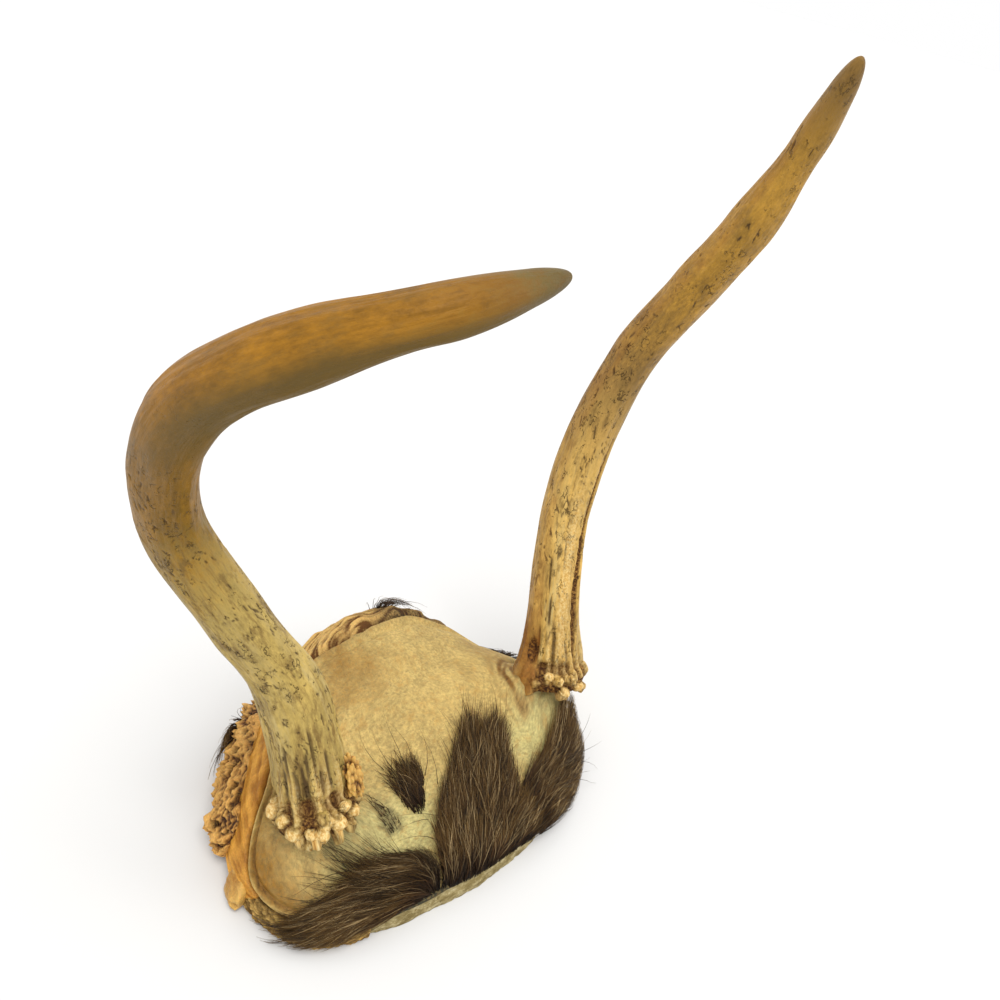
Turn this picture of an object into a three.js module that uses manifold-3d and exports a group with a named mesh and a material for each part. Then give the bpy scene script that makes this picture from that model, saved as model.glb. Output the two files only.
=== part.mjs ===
// Skull plate of a young deer with both antlers still on it, dried hide, dried flesh and tufts of hair.
// Units are millimetres. The origin lies on the flat sawn underside, midway between the two antlers.
// +Z is up, -Y points to the nose, and +X is the deer's left.

import * as THREE from 'three';
import { mergeVertices } from 'three/addons/utils/BufferGeometryUtils.js';
import Module from 'manifold-3d';

const wasm = await Module();
wasm.setup();

// ---------------------------------------------------------------- driving dimensions

const DEG = Math.PI / 180;
const GAP = 0.35;                    // clearance between neighbouring pieces

// Bone plate: a dome over an egg-shaped outline, higher over the braincase than over the brow.
const CROWN_Y = 14;                  // the crown lies this far behind the line of the antlers
const CROWN_HEIGHT = 21;             // height of the bone above the saw cut, at the crown
const CROWN_SLOPE = 0.22;            // rise of the dome towards the back, mm for each mm
const SHOULDER = 3;                  // larger values give a flatter top and steeper sides
const SURFACE_REACH = 62;            // length over the dome from the crown to the saw cut, about
// Reach of the bone from the crown every 15 degrees, from +X through +Y.
const BONE_REACH = [
  50.5, 43.5, 43.5, 45, 45.5, 43.5, 41.5, 39.5, 38.5, 39, 41, 46,
  54.5, 61.5, 62.5, 56.5, 50.5, 47.5, 46, 46.5, 47, 49.5, 53, 55,
];

// Hollow of the braincase, open at the saw cut.
const CAVITY = { centre: [0, 33, 0], radii: [25, 18, 13] };

// Hide: where it ends in the same directions, with 0 at the crown and 1 at the saw cut.
const HIDE_HEM = [
  0.90, 0.72, 0.58, 0.50, 0.43, 0.40, 0.40, 0.43, 0.51, 0.60, 0.58, 0.57,
  0.60, 0.80, 0.82, 0.83, 0.80, 0.78, 0.79, 0.83, 0.87, 0.91, 0.93, 0.94,
];
const HIDE_THICKNESS = 2.2;
const HIDE_DEPTH = 2;                // how far its inside reaches down before the bone cuts it away
const HEM_ROUNDING = 6;              // larger values give the hem a blunter edge

// Pedicles, the bone stumps that carry the antlers, and the collars of hide shrunk round them.
const PEDICLE = { radius: 8.5, length: 12 };
const COLLAR = { radius: 10.4, footRadius: 12, length: 12 };

// Burr, the knobbly ring at the foot of each antler.
const BURR_RADIUS = 12.4;
const BURR_HEIGHT = 6.5;
const BURR_EDGE = 1.5;               // rounding of its lower edge
const BURR_SHOULDER = 1;             // rounding of its upper edge
const BURR_FLARE = 1.9;              // length over which the burr dies away into the shaft
const BURR_HEADROOM = 4;             // free height kept above the burr

// Centre line and diameters of each antler from the burr to the tip, at equal steps.
const ANTLER_RIGHT = {
  name: 'antler_right',
  line: [
    [-42.3, -2.2, 20.4], [-42.9, 13.5, 48.5], [-52.7, 21, 68.1], [-64.6, 27, 90.8], [-71.8, 20.8, 111.9],
    [-74.1, 8.7, 132.9], [-67.4, -9, 149.5], [-54.2, -22.4, 159.6], [-32.7, -24.6, 164],
  ],
  diameters: [16.6, 16.5, 14, 13.2, 12, 12.4, 11.8, 8.5, 4.4],
};
const ANTLER_LEFT = {
  name: 'antler_left',
  line: [
    [42.3, -2.2, 20.4], [46.5, 8, 44], [53.4, 17.6, 66.6], [61.6, 22.7, 90.8], [66.9, 20.2, 115.5],
    [65.9, 9.8, 138.2], [58.5, -2.5, 158.9], [49.1, -13.9, 181.3], [35.7, -23.9, 199.9],
  ],
  diameters: [15.2, 14.5, 14, 14, 13.1, 12.5, 11.3, 7.8, 4.4],
};
const ANTLERS = [ANTLER_RIGHT, ANTLER_LEFT];
const TIP_ROUNDING = 0.04;           // part of the antler's length taken by the blunt tip

// Dried flesh on the dome: angles in degrees, top and bottom as for the hem, thickness in mm.
const NAPE = { from: 12, to: 130, top: 0.36, bottom: 0.88, sink: 3, thickness: 4.2 };
const MUSCLE = { from: 140, to: 198, top: 0.50, bottom: 0.97, sink: 3, thickness: 3.4 };
const CRUST = { from: 136, to: 184, top: 0.72, bottom: 1.00, sink: 3, thickness: 9 };
const BROW_CRUST = { from: 197, to: 224, top: 0.84, bottom: 1.00, sink: 2, thickness: 2.4 };
const KNOB = { from: 188, to: 195, top: 0.84, bottom: 1.00, sink: 1, thickness: 5 };

// Lump of gristle on the nose side of the right antler, just above its burr.
const BURR_GRISTLE = { centre: [-35.2, -4.5, 34], radii: [3.8, 4.2, 6.5] };

// Tufts of hair, from the roots to the tips, both given as [angle in degrees, depth as for the hem].
const TUFTS = {
  tuft_forehead: { roots: [-106, 0.80], tips: [-58, 0.22], width: 26, thickness: 4.5 },
  tuft_brow_left: { roots: [-84, 0.74], tips: [-32, 0.76], width: 10, thickness: 4 },
  tuft_brow_right: { roots: [-114, 0.72], tips: [-153, 0.85], width: 14, thickness: 3.6 },
  tuft_spot_centre: { roots: [-121, 0.40], tips: [-150, 0.22], width: 8, thickness: 3 },
  tuft_spot_burr: { roots: [-136, 0.43], tips: [-147, 0.35], width: 5, thickness: 2 },
  tuft_temple_left: { roots: [-2, 0.62], tips: [16, 0.66], width: 5, thickness: 2 },
  tuft_nape: { roots: [72, 0.52], tips: [54, 0.52], width: 5, thickness: 3, base: 4.4 },
  tuft_ear: { roots: [146, 0.74], tips: [160, 0.78], width: 7, thickness: 3, base: 9 },
};
const TUFT_UNDERSIDE = 0.15;         // depth of a pad's underside as a part of its thickness
const TUFT_LEAN = 0.2;               // how much thicker a pad is at the tips than in the middle
const TUFT_LOWEST = 0.99;            // greatest depth that a pad reaches

// ---------------------------------------------------------------- materials

function finish(name, color, roughness) {
  const surface = new THREE.MeshStandardMaterial({ color, roughness, metalness: 0 });
  surface.name = name;
  return surface;
}

const antlerFinish = () => finish('antler', 0xb69a5e, 0.5);
const boneFinish = () => finish('bone', 0xcbb98a, 0.6);
const hideFinish = () => finish('dried_hide', 0xc7a968, 0.65);
const fleshFinish = () => finish('dried_flesh', 0xa8702f, 0.55);
const gristleFinish = () => finish('gristle', 0xc9a263, 0.45);
const hairFinish = () => finish('hair', 0x4f4135, 0.7);

// ---------------------------------------------------------------- the dome

// Smooth value from a table that goes once round, at an angle in radians.
function around(table, angle) {
  const n = table.length;
  const t = (((angle / (2 * Math.PI)) * n) % n + n) % n;
  const i = Math.floor(t);
  const w = t - i;
  const [a, b, c, d] = [-1, 0, 1, 2].map((k) => table[(i + k + n) % n]);
  const bend = (2 * a - 5 * b + 4 * c - d) * w + (3 * b - a - 3 * c + d) * w * w;
  return b + 0.5 * w * (c - a + bend);
}

// Point on the dome: angle in radians, s from 0 at the crown to 1 at the saw cut, raised by lift.
function onDome(angle, s, lift) {
  const r = Math.sin(Math.min(s, 1) * Math.PI / 2);
  const reach = (around(BONE_REACH, angle) + lift) * r;
  const y = Math.sin(angle) * reach;
  const top = CROWN_HEIGHT + CROWN_SLOPE * y + lift;
  const z = top * Math.sqrt(Math.max(1 - r ** SHOULDER, 0));
  return new THREE.Vector3(Math.cos(angle) * reach, CROWN_Y + y, z);
}

// ---------------------------------------------------------------- geometry helpers

// Unit sphere with its poles on the Z axis.
function sphere(sides, rings) {
  return new THREE.SphereGeometry(1, sides, rings).rotateX(Math.PI / 2);
}

function weld(geometry) {
  geometry.deleteAttribute('normal');
  geometry.deleteAttribute('uv');
  return mergeVertices(geometry, 1e-4);
}

// Moves every vertex of a geometry with a function of its position.
function warp(geometry, move) {
  const welded = weld(geometry);
  const position = welded.getAttribute('position');
  for (let i = 0; i < position.count; i += 1) {
    const v = move(new THREE.Vector3().fromBufferAttribute(position, i));
    position.setXYZ(i, v.x, v.y, v.z);
  }
  return welded;
}

function solid(geometry) {
  const welded = weld(geometry);
  return new wasm.Manifold(new wasm.Mesh({
    numProp: 3,
    vertProperties: Float32Array.from(welded.getAttribute('position').array),
    triVerts: Uint32Array.from(welded.getIndex().array),
  }));
}

// Geometry of the largest body of a solid, without the crumbs that a cut can leave.
function geometryOf(shape) {
  const bodies = shape.decompose();
  const mesh = bodies.reduce((best, body) => (body.volume() > best.volume() ? body : best)).getMesh();
  const geometry = new THREE.BufferGeometry();
  geometry.setAttribute('position', new THREE.BufferAttribute(Float32Array.from(mesh.vertProperties), 3));
  geometry.setIndex(new THREE.BufferAttribute(Uint32Array.from(mesh.triVerts), 1));
  return geometry;
}

function ellipsoid({ centre, radii }, sides, rings) {
  return solid(warp(sphere(sides, rings), (v) => v.set(
    centre[0] + v.x * radii[0],
    centre[1] + v.y * radii[1],
    centre[2] + v.z * radii[2],
  )));
}

// Angle round the Z axis, and depth below the upper pole from 0 to 2, of a point of the unit sphere.
function sphereCoordinates(v) {
  const depth = Math.acos(THREE.MathUtils.clamp(v.z, -1, 1)) / (Math.PI / 2);
  return { angle: Math.atan2(v.y, v.x), depth };
}

// ---------------------------------------------------------------- antlers

function antlerCurve(antler) {
  const points = antler.line.map((p) => new THREE.Vector3(...p));
  return new THREE.CatmullRomCurve3(points, false, 'centripetal');
}

function shaftRadius(antler, t) {
  const x = t * (antler.diameters.length - 1);
  const i = Math.min(Math.floor(x), antler.diameters.length - 2);
  const w = THREE.MathUtils.smoothstep(x - i, 0, 1);
  return THREE.MathUtils.lerp(antler.diameters[i], antler.diameters[i + 1], w) / 2;
}

// Half outline of the straightened antler: burr, shaft and blunt tip, grown by grow.
function antlerProfile(antler, length, grow, rings) {
  const burr = BURR_RADIUS + grow;
  const profile = [
    new THREE.Vector2(0, 0),
    new THREE.Vector2(burr - BURR_EDGE, 0),
    new THREE.Vector2(burr, BURR_EDGE),
    new THREE.Vector2(burr, BURR_HEIGHT - BURR_SHOULDER),
  ];
  const start = BURR_HEIGHT / length;
  for (let i = 0; i < rings; i += 1) {
    const t = start + (1 - start) * (i / rings);
    const flare = BURR_RADIUS - BURR_SHOULDER - shaftRadius(antler, 0);
    const rim = flare * Math.exp((start - t) * length / BURR_FLARE);
    const blunt = Math.max((t - 1 + TIP_ROUNDING) / TIP_ROUNDING, 0);
    const radius = shaftRadius(antler, t) * Math.sqrt(1 - blunt * blunt) + rim + grow;
    profile.push(new THREE.Vector2(radius, t * length));
  }
  profile.push(new THREE.Vector2(0, length));
  return profile;
}

// The turned profile, bent along the antler's centre line.
function antlerGeometry(antler, grow = 0) {
  const sides = 14;
  const rings = 26;
  const frameCount = 60;
  const curve = antlerCurve(antler);
  const length = curve.getLength();
  const frames = curve.computeFrenetFrames(frameCount, false);
  const sideways = (list, t) => {
    const i = Math.min(Math.floor(t * frameCount), frameCount - 1);
    return list[i].clone().lerp(list[i + 1], t * frameCount - i).normalize();
  };
  const straight = new THREE.LatheGeometry(antlerProfile(antler, length, grow, rings), sides);
  return warp(straight, (v) => {
    const t = THREE.MathUtils.clamp(v.y / length, 0, 1);
    const centre = curve.getPointAt(t);
    centre.addScaledVector(sideways(frames.normals, t), v.x);
    centre.addScaledVector(sideways(frames.binormals, t), -v.z);
    return centre;
  });
}

// Round stump on an antler's axis. Its top lies drop below the antler's foot.
function stump(antler, topRadius, footRadius, length, drop) {
  const sides = 24;
  const geometry = new THREE.CylinderGeometry(topRadius, footRadius, length, sides);
  geometry.translate(0, -length / 2 - drop, 0);
  const axis = antlerCurve(antler).getTangentAt(0);
  geometry.applyQuaternion(new THREE.Quaternion().setFromUnitVectors(new THREE.Vector3(0, 1, 0), axis));
  geometry.translate(...antler.line[0]);
  return solid(geometry);
}

// Room that the burr needs above the hide and bone, with clearance all round.
function burrRoom(antler, clearance) {
  const radius = BURR_RADIUS + clearance;
  const length = BURR_HEIGHT + BURR_HEADROOM + clearance;
  return stump(antler, radius, radius, length, clearance - length);
}

// ---------------------------------------------------------------- bone and hide

// Dome with a flat underside and a pedicle under each antler, grown by lift on its outside.
function boneSolid(lift) {
  let bone = solid(warp(sphere(36, 18), (v) => {
    const { angle, depth } = sphereCoordinates(v);
    const p = onDome(angle, Math.min(depth, 1), lift);
    if (depth > 1) {
      const shrink = Math.max(2 - depth, 0);
      p.set(p.x * shrink, CROWN_Y + (p.y - CROWN_Y) * shrink, 0);
    }
    return p;
  }));
  for (const antler of ANTLERS) {
    const radius = PEDICLE.radius + lift;
    const pedicle = stump(antler, radius, radius, PEDICLE.length + 2 * lift, GAP - lift);
    bone = bone.subtract(burrRoom(antler, 2 * GAP - lift)).add(pedicle);
  }
  return bone;
}

// Skin over the dome down to its hem, with a collar round each pedicle, grown by grow.
function skinSolid(grow) {
  const hemGrowth = 3 * grow / SURFACE_REACH;
  let skin = solid(warp(sphere(36, 20), (v) => {
    const { angle, depth } = sphereCoordinates(v);
    const inside = depth > 1;
    const s = (inside ? 2 - depth : depth) * (around(HIDE_HEM, angle) + hemGrowth);
    const edge = Math.min(1, Math.abs(1 - depth) * HEM_ROUNDING);
    const outer = GAP + grow + HIDE_THICKNESS * Math.sqrt(edge);
    return onDome(angle, s, inside ? -HIDE_DEPTH * edge : outer);
  }));
  for (const antler of ANTLERS) {
    const collar = stump(antler, COLLAR.radius + grow, COLLAR.footRadius + grow, COLLAR.length, GAP);
    skin = skin.add(collar).subtract(burrRoom(antler, 2 * GAP - grow / 2));
  }
  return skin;
}

const boneRoom = boneSolid(GAP);
const hideRoom = skinSolid(GAP);

// Cuts away what the bone, the hide and any further neighbours take up.
function fitted(shape, ...neighbours) {
  return [boneRoom, hideRoom, ...neighbours].reduce((rest, other) => rest.subtract(other), shape);
}

// ---------------------------------------------------------------- dried flesh and hair

// Pillow of flesh on the dome, before its neighbours are cut away.
function fleshPillow({ from, to, top, bottom, sink, thickness }, sides, rings, grow = 0) {
  const middle = (from + to) / 2 * DEG;
  const half = (to - from) / 2 * DEG;
  const halfDepth = (bottom - top) / 2 + grow / SURFACE_REACH;
  return solid(warp(sphere(sides, rings), (v) => {
    const blunt = Math.sign(v.x) * (1 - (1 - Math.abs(v.x)) ** 2);
    const lift = v.z > 0 ? v.z * (thickness + grow) : v.z * sink;
    const p = onDome(middle - half * blunt, (top + bottom) / 2 + v.y * halfDepth, lift);
    p.z = Math.max(p.z, 0);
    return p;
  }));
}

// Pad that a tuft of hair fills, from its roots to its tips.
function tuftPad({ roots, tips, width, thickness, base = HIDE_THICKNESS }, grow = 0) {
  const flat = ([degrees, s]) => new THREE.Vector2(
    Math.cos(degrees * DEG) * s * SURFACE_REACH,
    Math.sin(degrees * DEG) * s * SURFACE_REACH,
  );
  const middle = flat(roots).lerp(flat(tips), 0.5);
  const along = flat(tips).sub(middle);
  const across = new THREE.Vector2(-along.y, along.x).setLength(width / 2 + grow);
  along.setLength(along.length() + grow);
  return solid(warp(sphere(14, 6), (v) => {
    const q = middle.clone().addScaledVector(along, v.x).addScaledVector(across, v.y);
    const height = (v.z > 0 ? v.z : TUFT_UNDERSIDE * v.z) * (1 - TUFT_LEAN + TUFT_LEAN * v.x);
    const lift = base + 2 * GAP + (thickness + grow) * height;
    return onDome(Math.atan2(q.y, q.x), Math.min(q.length() / SURFACE_REACH, TUFT_LOWEST), lift);
  }));
}

// ---------------------------------------------------------------- assembly

const group = new THREE.Group();

function place(name, geometry, surface) {
  geometry.computeVertexNormals();
  const mesh = new THREE.Mesh(geometry, surface);
  mesh.name = name;
  group.add(mesh);
}

place('skull_plate', geometryOf(boneSolid(0).subtract(ellipsoid(CAVITY, 24, 12))), boneFinish());
place('hide', geometryOf(skinSolid(0).subtract(boneRoom)), hideFinish());
for (const antler of ANTLERS) {
  place(antler.name, antlerGeometry(antler), antlerFinish());
}

const napeRoom = fleshPillow(NAPE, 22, 8, GAP);
const muscleRoom = fleshPillow(MUSCLE, 16, 8, GAP);
const crustRoom = fleshPillow(CRUST, 16, 8, GAP);
const burrRooms = ANTLERS.map((antler) => burrRoom(antler, GAP));
const nape = fitted(fleshPillow(NAPE, 22, 8), ...burrRooms);
const muscle = fitted(fleshPillow(MUSCLE, 16, 8), napeRoom, ...burrRooms);
const crust = fitted(fleshPillow(CRUST, 16, 8), napeRoom, muscleRoom);
const browCrust = fitted(fleshPillow(BROW_CRUST, 14, 6), muscleRoom);
const knob = fitted(fleshPillow(KNOB, 12, 8), muscleRoom, crustRoom);
const burrGristle = fitted(ellipsoid(BURR_GRISTLE, 14, 8), solid(antlerGeometry(ANTLER_RIGHT, GAP)));
place('nape_tissue', geometryOf(nape), fleshFinish());
place('temporal_muscle_right', geometryOf(muscle), fleshFinish());
place('flesh_crust_right', geometryOf(crust), fleshFinish());
place('flesh_crust_brow', geometryOf(browCrust), fleshFinish());
place('gristle_knob', geometryOf(knob), gristleFinish());
place('burr_gristle', geometryOf(burrGristle), gristleFinish());

// Each tuft leaves room for the flesh under it and for the tufts before it.
const rooms = [napeRoom, crustRoom, muscleRoom];
for (const [name, tuft] of Object.entries(TUFTS)) {
  place(name, geometryOf(fitted(tuftPad(tuft), ...rooms)), hairFinish());
  rooms.push(tuftPad(tuft, GAP));
}

export default group;
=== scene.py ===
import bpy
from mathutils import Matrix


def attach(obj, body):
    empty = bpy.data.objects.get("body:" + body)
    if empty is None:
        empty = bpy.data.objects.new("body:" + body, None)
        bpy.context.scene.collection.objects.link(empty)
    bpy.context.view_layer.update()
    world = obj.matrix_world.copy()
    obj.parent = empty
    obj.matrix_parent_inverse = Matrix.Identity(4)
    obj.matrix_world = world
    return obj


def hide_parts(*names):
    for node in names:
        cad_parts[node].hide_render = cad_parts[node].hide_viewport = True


bl_info = {
    "name": "Deer Antlers on a Skull Plate",
    "version": (1, 0, 0),
    "blender": (4, 5, 0),
    "location": "3D View > Sidebar > Antlers",
    "description": "A young deer's antlers on their sawn-off skull plate, with dried hide, flesh and hair",
    "category": "Add Mesh",
}

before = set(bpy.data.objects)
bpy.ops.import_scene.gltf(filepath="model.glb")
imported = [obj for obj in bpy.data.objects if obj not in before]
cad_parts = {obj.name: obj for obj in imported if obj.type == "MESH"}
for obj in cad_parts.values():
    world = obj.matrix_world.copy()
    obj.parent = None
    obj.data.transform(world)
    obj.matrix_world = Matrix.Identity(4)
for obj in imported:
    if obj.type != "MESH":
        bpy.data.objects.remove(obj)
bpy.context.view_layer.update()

import math
import random

import bmesh
import bpy
from bpy.props import FloatProperty, FloatVectorProperty, IntProperty, PointerProperty
from bpy.types import Operator, Panel, PropertyGroup
from mathutils import Vector, noise

# All measures are millimetres unless they say otherwise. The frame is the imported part's own:
# +Z up from the saw cut, -Y to the nose, +X to the deer's left.
MM = 0.001
FINENESS = 1.0

# ------------------------------------------------------------------ measures of the bone and hide

CROWN_Y = 14.0
CROWN_HEIGHT = 21.0
CROWN_SLOPE = 0.22
SHOULDER = 3
SURFACE_REACH = 62.0            # length over the dome from the crown to the saw cut, about
# Reach of the bone from the crown, and depth of the hide's hem, every 15 degrees from +X through +Y.
BONE_REACH = (
    50.5, 43.5, 43.5, 45, 45.5, 43.5, 41.5, 39.5, 38.5, 39, 41, 46,
    54.5, 61.5, 62.5, 56.5, 50.5, 47.5, 46, 46.5, 47, 49.5, 53, 55,
)
HIDE_HEM = (
    0.90, 0.72, 0.58, 0.50, 0.43, 0.40, 0.40, 0.43, 0.51, 0.60, 0.58, 0.57,
    0.60, 0.80, 0.82, 0.83, 0.80, 0.78, 0.79, 0.83, 0.87, 0.91, 0.93, 0.94,
)
HIDE_THICKNESS = 2.2
HIDE_GAP = 0.3                  # the hide's underside lies this far above the bone
SKIN = HIDE_THICKNESS + HIDE_GAP
CAVITY_CENTRE_Y = 33.0
CAVITY = (25.0, 18.0, 13.0)     # half width, half depth and height of the braincase hollow

# ------------------------------------------------------------------ measures of the antlers

BURR_RADIUS = 10.6
BURR_MIDDLE = 3.0               # height of the burr's widest ring over the antler's foot
BURR_HALF_HEIGHT = 3.6
BURR_TOP = 9.0
RIB_TOP = 22.0                  # the ribs that run up from the pearls end below this height
PEARL_REACH = 4.0               # a pearl raises nothing further away than this
CLIMB = 5.0                     # how far the hide climbs the plain side of the left burr
COLLAR_RADIUS = 11.0            # where the hide meets a burr
COLLAR_REACH = 20.0             # the bone and hide are drawn to a burr within this distance of its foot
ANTLERS = {
    "right": {
        "line": (
            (-42.3, -2.2, 20.4), (-42.9, 13.5, 48.5), (-52.7, 21, 68.1), (-64.6, 27, 90.8),
            (-71.8, 20.8, 111.9), (-74.1, 8.7, 132.9), (-67.4, -9, 149.5), (-54.2, -22.4, 159.6),
            (-32.7, -24.6, 164),
        ),
        "diameters": (16.6, 16.5, 14, 13.2, 12, 12.4, 11.8, 8.5, 4.4),
        # Pearls of the burr: degrees round from the nose side, height, radius, stretch along the shaft.
        "pearls": (
            (-82, 4.4, 2.1, 0.9), (-66, 1.6, 2.2, 1.0), (-41, 0.9, 1.3, 1.0), (-27, 0.0, 1.6, 0.9),
            (-20, 3.0, 1.9, 1.5), (-1, 1.6, 2.1, 1.1), (30, 1.8, 1.7, 1.3), (-46, -1.2, 0.9, 0.8),
            (-36, -1.6, 0.8, 0.8), (14, 4.4, 1.4, 1.0), (50, 3.0, 1.8, 1.0),
        ),
        "dark_pearls": ((-7, -1.8, 1.4, 0.9), (17, -1.2, 1.7, 1.0), (-57, -1.0, 1.2, 0.8)),
        # Hollows: degrees, height, half width, half length, depth.
        "hollows": ((-112, 6.0, 2.6, 3.2, 2.4), (-42, 6.4, 3.2, 2.6, 1.0), (2, 6.6, 3.0, 2.4, 0.9)),
        # Dark grooves: degrees, where they start and end, half width.
        "grooves": (
            (-41, 7, 18, 0.6), (-36, 7, 14, 0.5), (-52, 8, 16, 0.55), (-32, 12, 20, 0.35),
            (-71, 8, 17, 0.7), (-12, 8, 15, 0.5), (-62, 7, 24, 0.35), (-20, 9, 28, 0.35), (-85, 7, 16, 0.5),
            (2, 8, 20, 0.5),
        ),
        # Ribs that run up from the pearls: degrees, half width.
        "ribs": (
            (-59, 0.9), (-22, 1.3), (-85, 1.0), (-4, 0.8), (16, 0.9), (44, 1.0), (80, 0.9), (130, 1.1),
            (170, 0.9),
        ),
        "smooth": (0, 0),           # where the burr has no pearls
        "stripes": (),
        "scratched": 0.52,          # share of the length that has scratches
        "shaded": 1.0,              # how strongly painted shade darkens the underside of the upper half, in a dull green-brown
        "crack": (),
        "seed": 3,
    },
    "left": {
        "line": (
            (42.3, -2.2, 20.4), (46.5, 8, 44), (53.4, 17.6, 66.6), (61.6, 22.7, 90.8), (66.9, 20.2, 115.5),
            (65.9, 9.8, 138.2), (58.5, -2.5, 158.9), (49.1, -13.9, 181.3), (35.7, -23.9, 199.9),
        ),
        "diameters": (15.2, 14.5, 14, 14, 13.1, 12.5, 11.3, 7.8, 4.4),
        "pearls": (
            (-40, 3.4, 1.9, 0.9), (-14, 3.4, 2.2, 1.0), (-56, 5.0, 1.4, 1.0), (6, 0.8, 2.0, 1.0),
            (-26, -0.6, 1.9, 1.2),
        ),
        "dark_pearls": ((-36, -0.8, 1.3, 0.8), (22, -0.6, 1.6, 1.0), (-78, 2.6, 1.6, 0.8)),
        "hollows": ((-100, 11.5, 3.0, 4.6, 1.9), (-63, 7.0, 4.2, 2.4, 1.3), (-30, 7.0, 3.8, 2.1, 1.1)),
        "grooves": (
            (-70, 28, 40, 0.3), (-62, 18, 29, 0.3), (-20, 7, 15, 0.5), (-50, 7, 19, 0.45),
            (-84, 8, 20, 0.5), (-40, 34, 46, 0.25), (-99, 7, 17, 0.5), (-2, 7, 15, 0.5),
        ),
        "ribs": (
            (-58, 0.8), (-42, 1.0), (-24, 0.8), (-8, 0.9), (14, 0.8), (40, 1.0), (75, 0.9), (120, 1.0),
            (160, 0.9),
        ),
        "smooth": (-175, -74),
        # Paler stripes: degrees, half width in degrees, and the height that they fade out at.
        "stripes": ((-30, 15, 75),),
        "scratched": 0.85,
        "shaded": 0.15,
        # A long drying crack: degrees and height of the points that it passes.
        "crack": ((-2, 8), (3, 16), (1, 27), (6, 36), (6, 45), (10, 58), (20, 78)),
        "seed": 8,
    },
}

# ------------------------------------------------------------------ colours, as seen on a screen

BONE_COLOUR = (0.75, 0.69, 0.51)
BONE_STAINS = {"pore": (0.28, 0.20, 0.10), "patch": (0.55, 0.46, 0.24), "edge": (0.36, 0.31, 0.17)}
ANTLER_MIDDLE = {"right": (0.53, 0.39, 0.10), "left": (0.58, 0.45, 0.23)}
ANTLER_TIP = {"right": (0.39, 0.325, 0.15), "left": (0.53, 0.40, 0.185)}
ANTLER_FLECKS = {"right": (0.9, 0.1), "left": (1.0, 0.6)}    # strength of the flecks low down and high up
# Stains of the antler, and one painted shade for the underside of its upper half.
ANTLER_STAINS = {
    "streak": (0.42, 0.30, 0.14), "valley": (0.36, 0.25, 0.11), "crest": (0.78, 0.70, 0.47),
    "blot": (0.44, 0.34, 0.16), "fleck": (0.25, 0.17, 0.07), "olive_underside_shade": (0.36, 0.29, 0.115),
    "score": (0.24, 0.165, 0.08), "rust": (0.60, 0.375, 0.13),
}
DIRT_AND_SHADE_BROWNS = ((0.14, 0.07, 0.03), (0.34, 0.20, 0.07), (0.62, 0.43, 0.17))
# Creams of the pearls: partly their own colour, partly a painted highlight on their tops.
PEARL_CREAMS = ((0.60, 0.41, 0.17), (0.80, 0.64, 0.36), (0.90, 0.81, 0.58))
HIDE_STAINS = {
    "ochre": (0.66, 0.49, 0.23), "pore": (0.52, 0.38, 0.20), "grime": (0.21, 0.20, 0.14),
    "hair_roots_and_shade": (0.17, 0.12, 0.075),
}
HAIR_COLOUR = (0.225, 0.148, 0.070)
HAIR_TIP = (0.42, 0.32, 0.17)
HAIR_SILVER = (0.70, 0.60, 0.43)
# Colours of the dried flesh: high places, low places, and the darkest pits. The pieces set them by height, so
# they are partly painted light on the high places and painted shade low down and in the pits.
FLESH_COLOURS = {
    "Crusted flesh": ((0.84, 0.65, 0.35), (0.49, 0.30, 0.09), (0.15, 0.07, 0.025)),
    "Nape tissue": ((0.80, 0.65, 0.38), (0.37, 0.23, 0.08), (0.17, 0.13, 0.08)),
    "Dried muscle": ((0.83, 0.60, 0.24), (0.61, 0.40, 0.12), (0.22, 0.11, 0.04)),
    "Brow crust": ((0.78, 0.64, 0.36), (0.46, 0.33, 0.13), (0.17, 0.11, 0.05)),
    "Gristle": ((0.82, 0.65, 0.34), (0.60, 0.41, 0.15), (0.26, 0.14, 0.04)),
}


def linear(colour):
    """Screen colour, 0 to 1, as the linear value that a shader takes."""
    return tuple(c / 12.92 if c <= 0.04045 else ((c + 0.055) / 1.055) ** 2.4 for c in colour[:3]) + (1.0,)


# ------------------------------------------------------------------ small sums

def clamp(x, low=0.0, high=1.0):
    return max(low, min(high, x))


def smoothstep(low, high, x):
    t = clamp((x - low) / (high - low))
    return t * t * (3 - 2 * t)


def bump(distance, width):
    """1 at distance 0, falling smoothly to nearly 0 at twice the width."""
    return math.exp(-(distance / width) ** 2)


def cells(place):
    """Rounded lumps packed side by side: about 1 on top of each and 0 between them."""
    return 1 - 1.25 * noise.voronoi(place)[0][0]


def around(table, angle):
    """Smooth value from a table that goes once round, at an angle in radians."""
    n = len(table)
    t = (angle / (2 * math.pi) * n) % n
    i = int(t)
    w = t - i
    a, b, c, d = (table[(i + k) % n] for k in (-1, 0, 1, 2))
    return b + 0.5 * w * (c - a + (2 * a - 5 * b + 4 * c - d) * w + (3 * b - a - 3 * c + d) * w * w)


def on_dome(angle, depth, lift):
    """Point on the dome of the skull: depth is 0 at the crown and 1 at the saw cut."""
    r = math.sin(min(depth, 1.0) * math.pi / 2)
    reach = (around(BONE_REACH, angle) + lift) * r
    y = math.sin(angle) * reach
    top = CROWN_HEIGHT + CROWN_SLOPE * y + lift
    return Vector((math.cos(angle) * reach, CROWN_Y + y, top * math.sqrt(max(1 - r ** SHOULDER, 0.0))))


def heading(angle):
    """Level direction at an angle from +X through +Y."""
    return Vector((math.cos(angle), math.sin(angle), 0))


def laid_flat(angle, depth):
    """The same place on the hide spread out flat, with the crown at the middle."""
    return heading(angle) * depth * SURFACE_REACH


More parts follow.
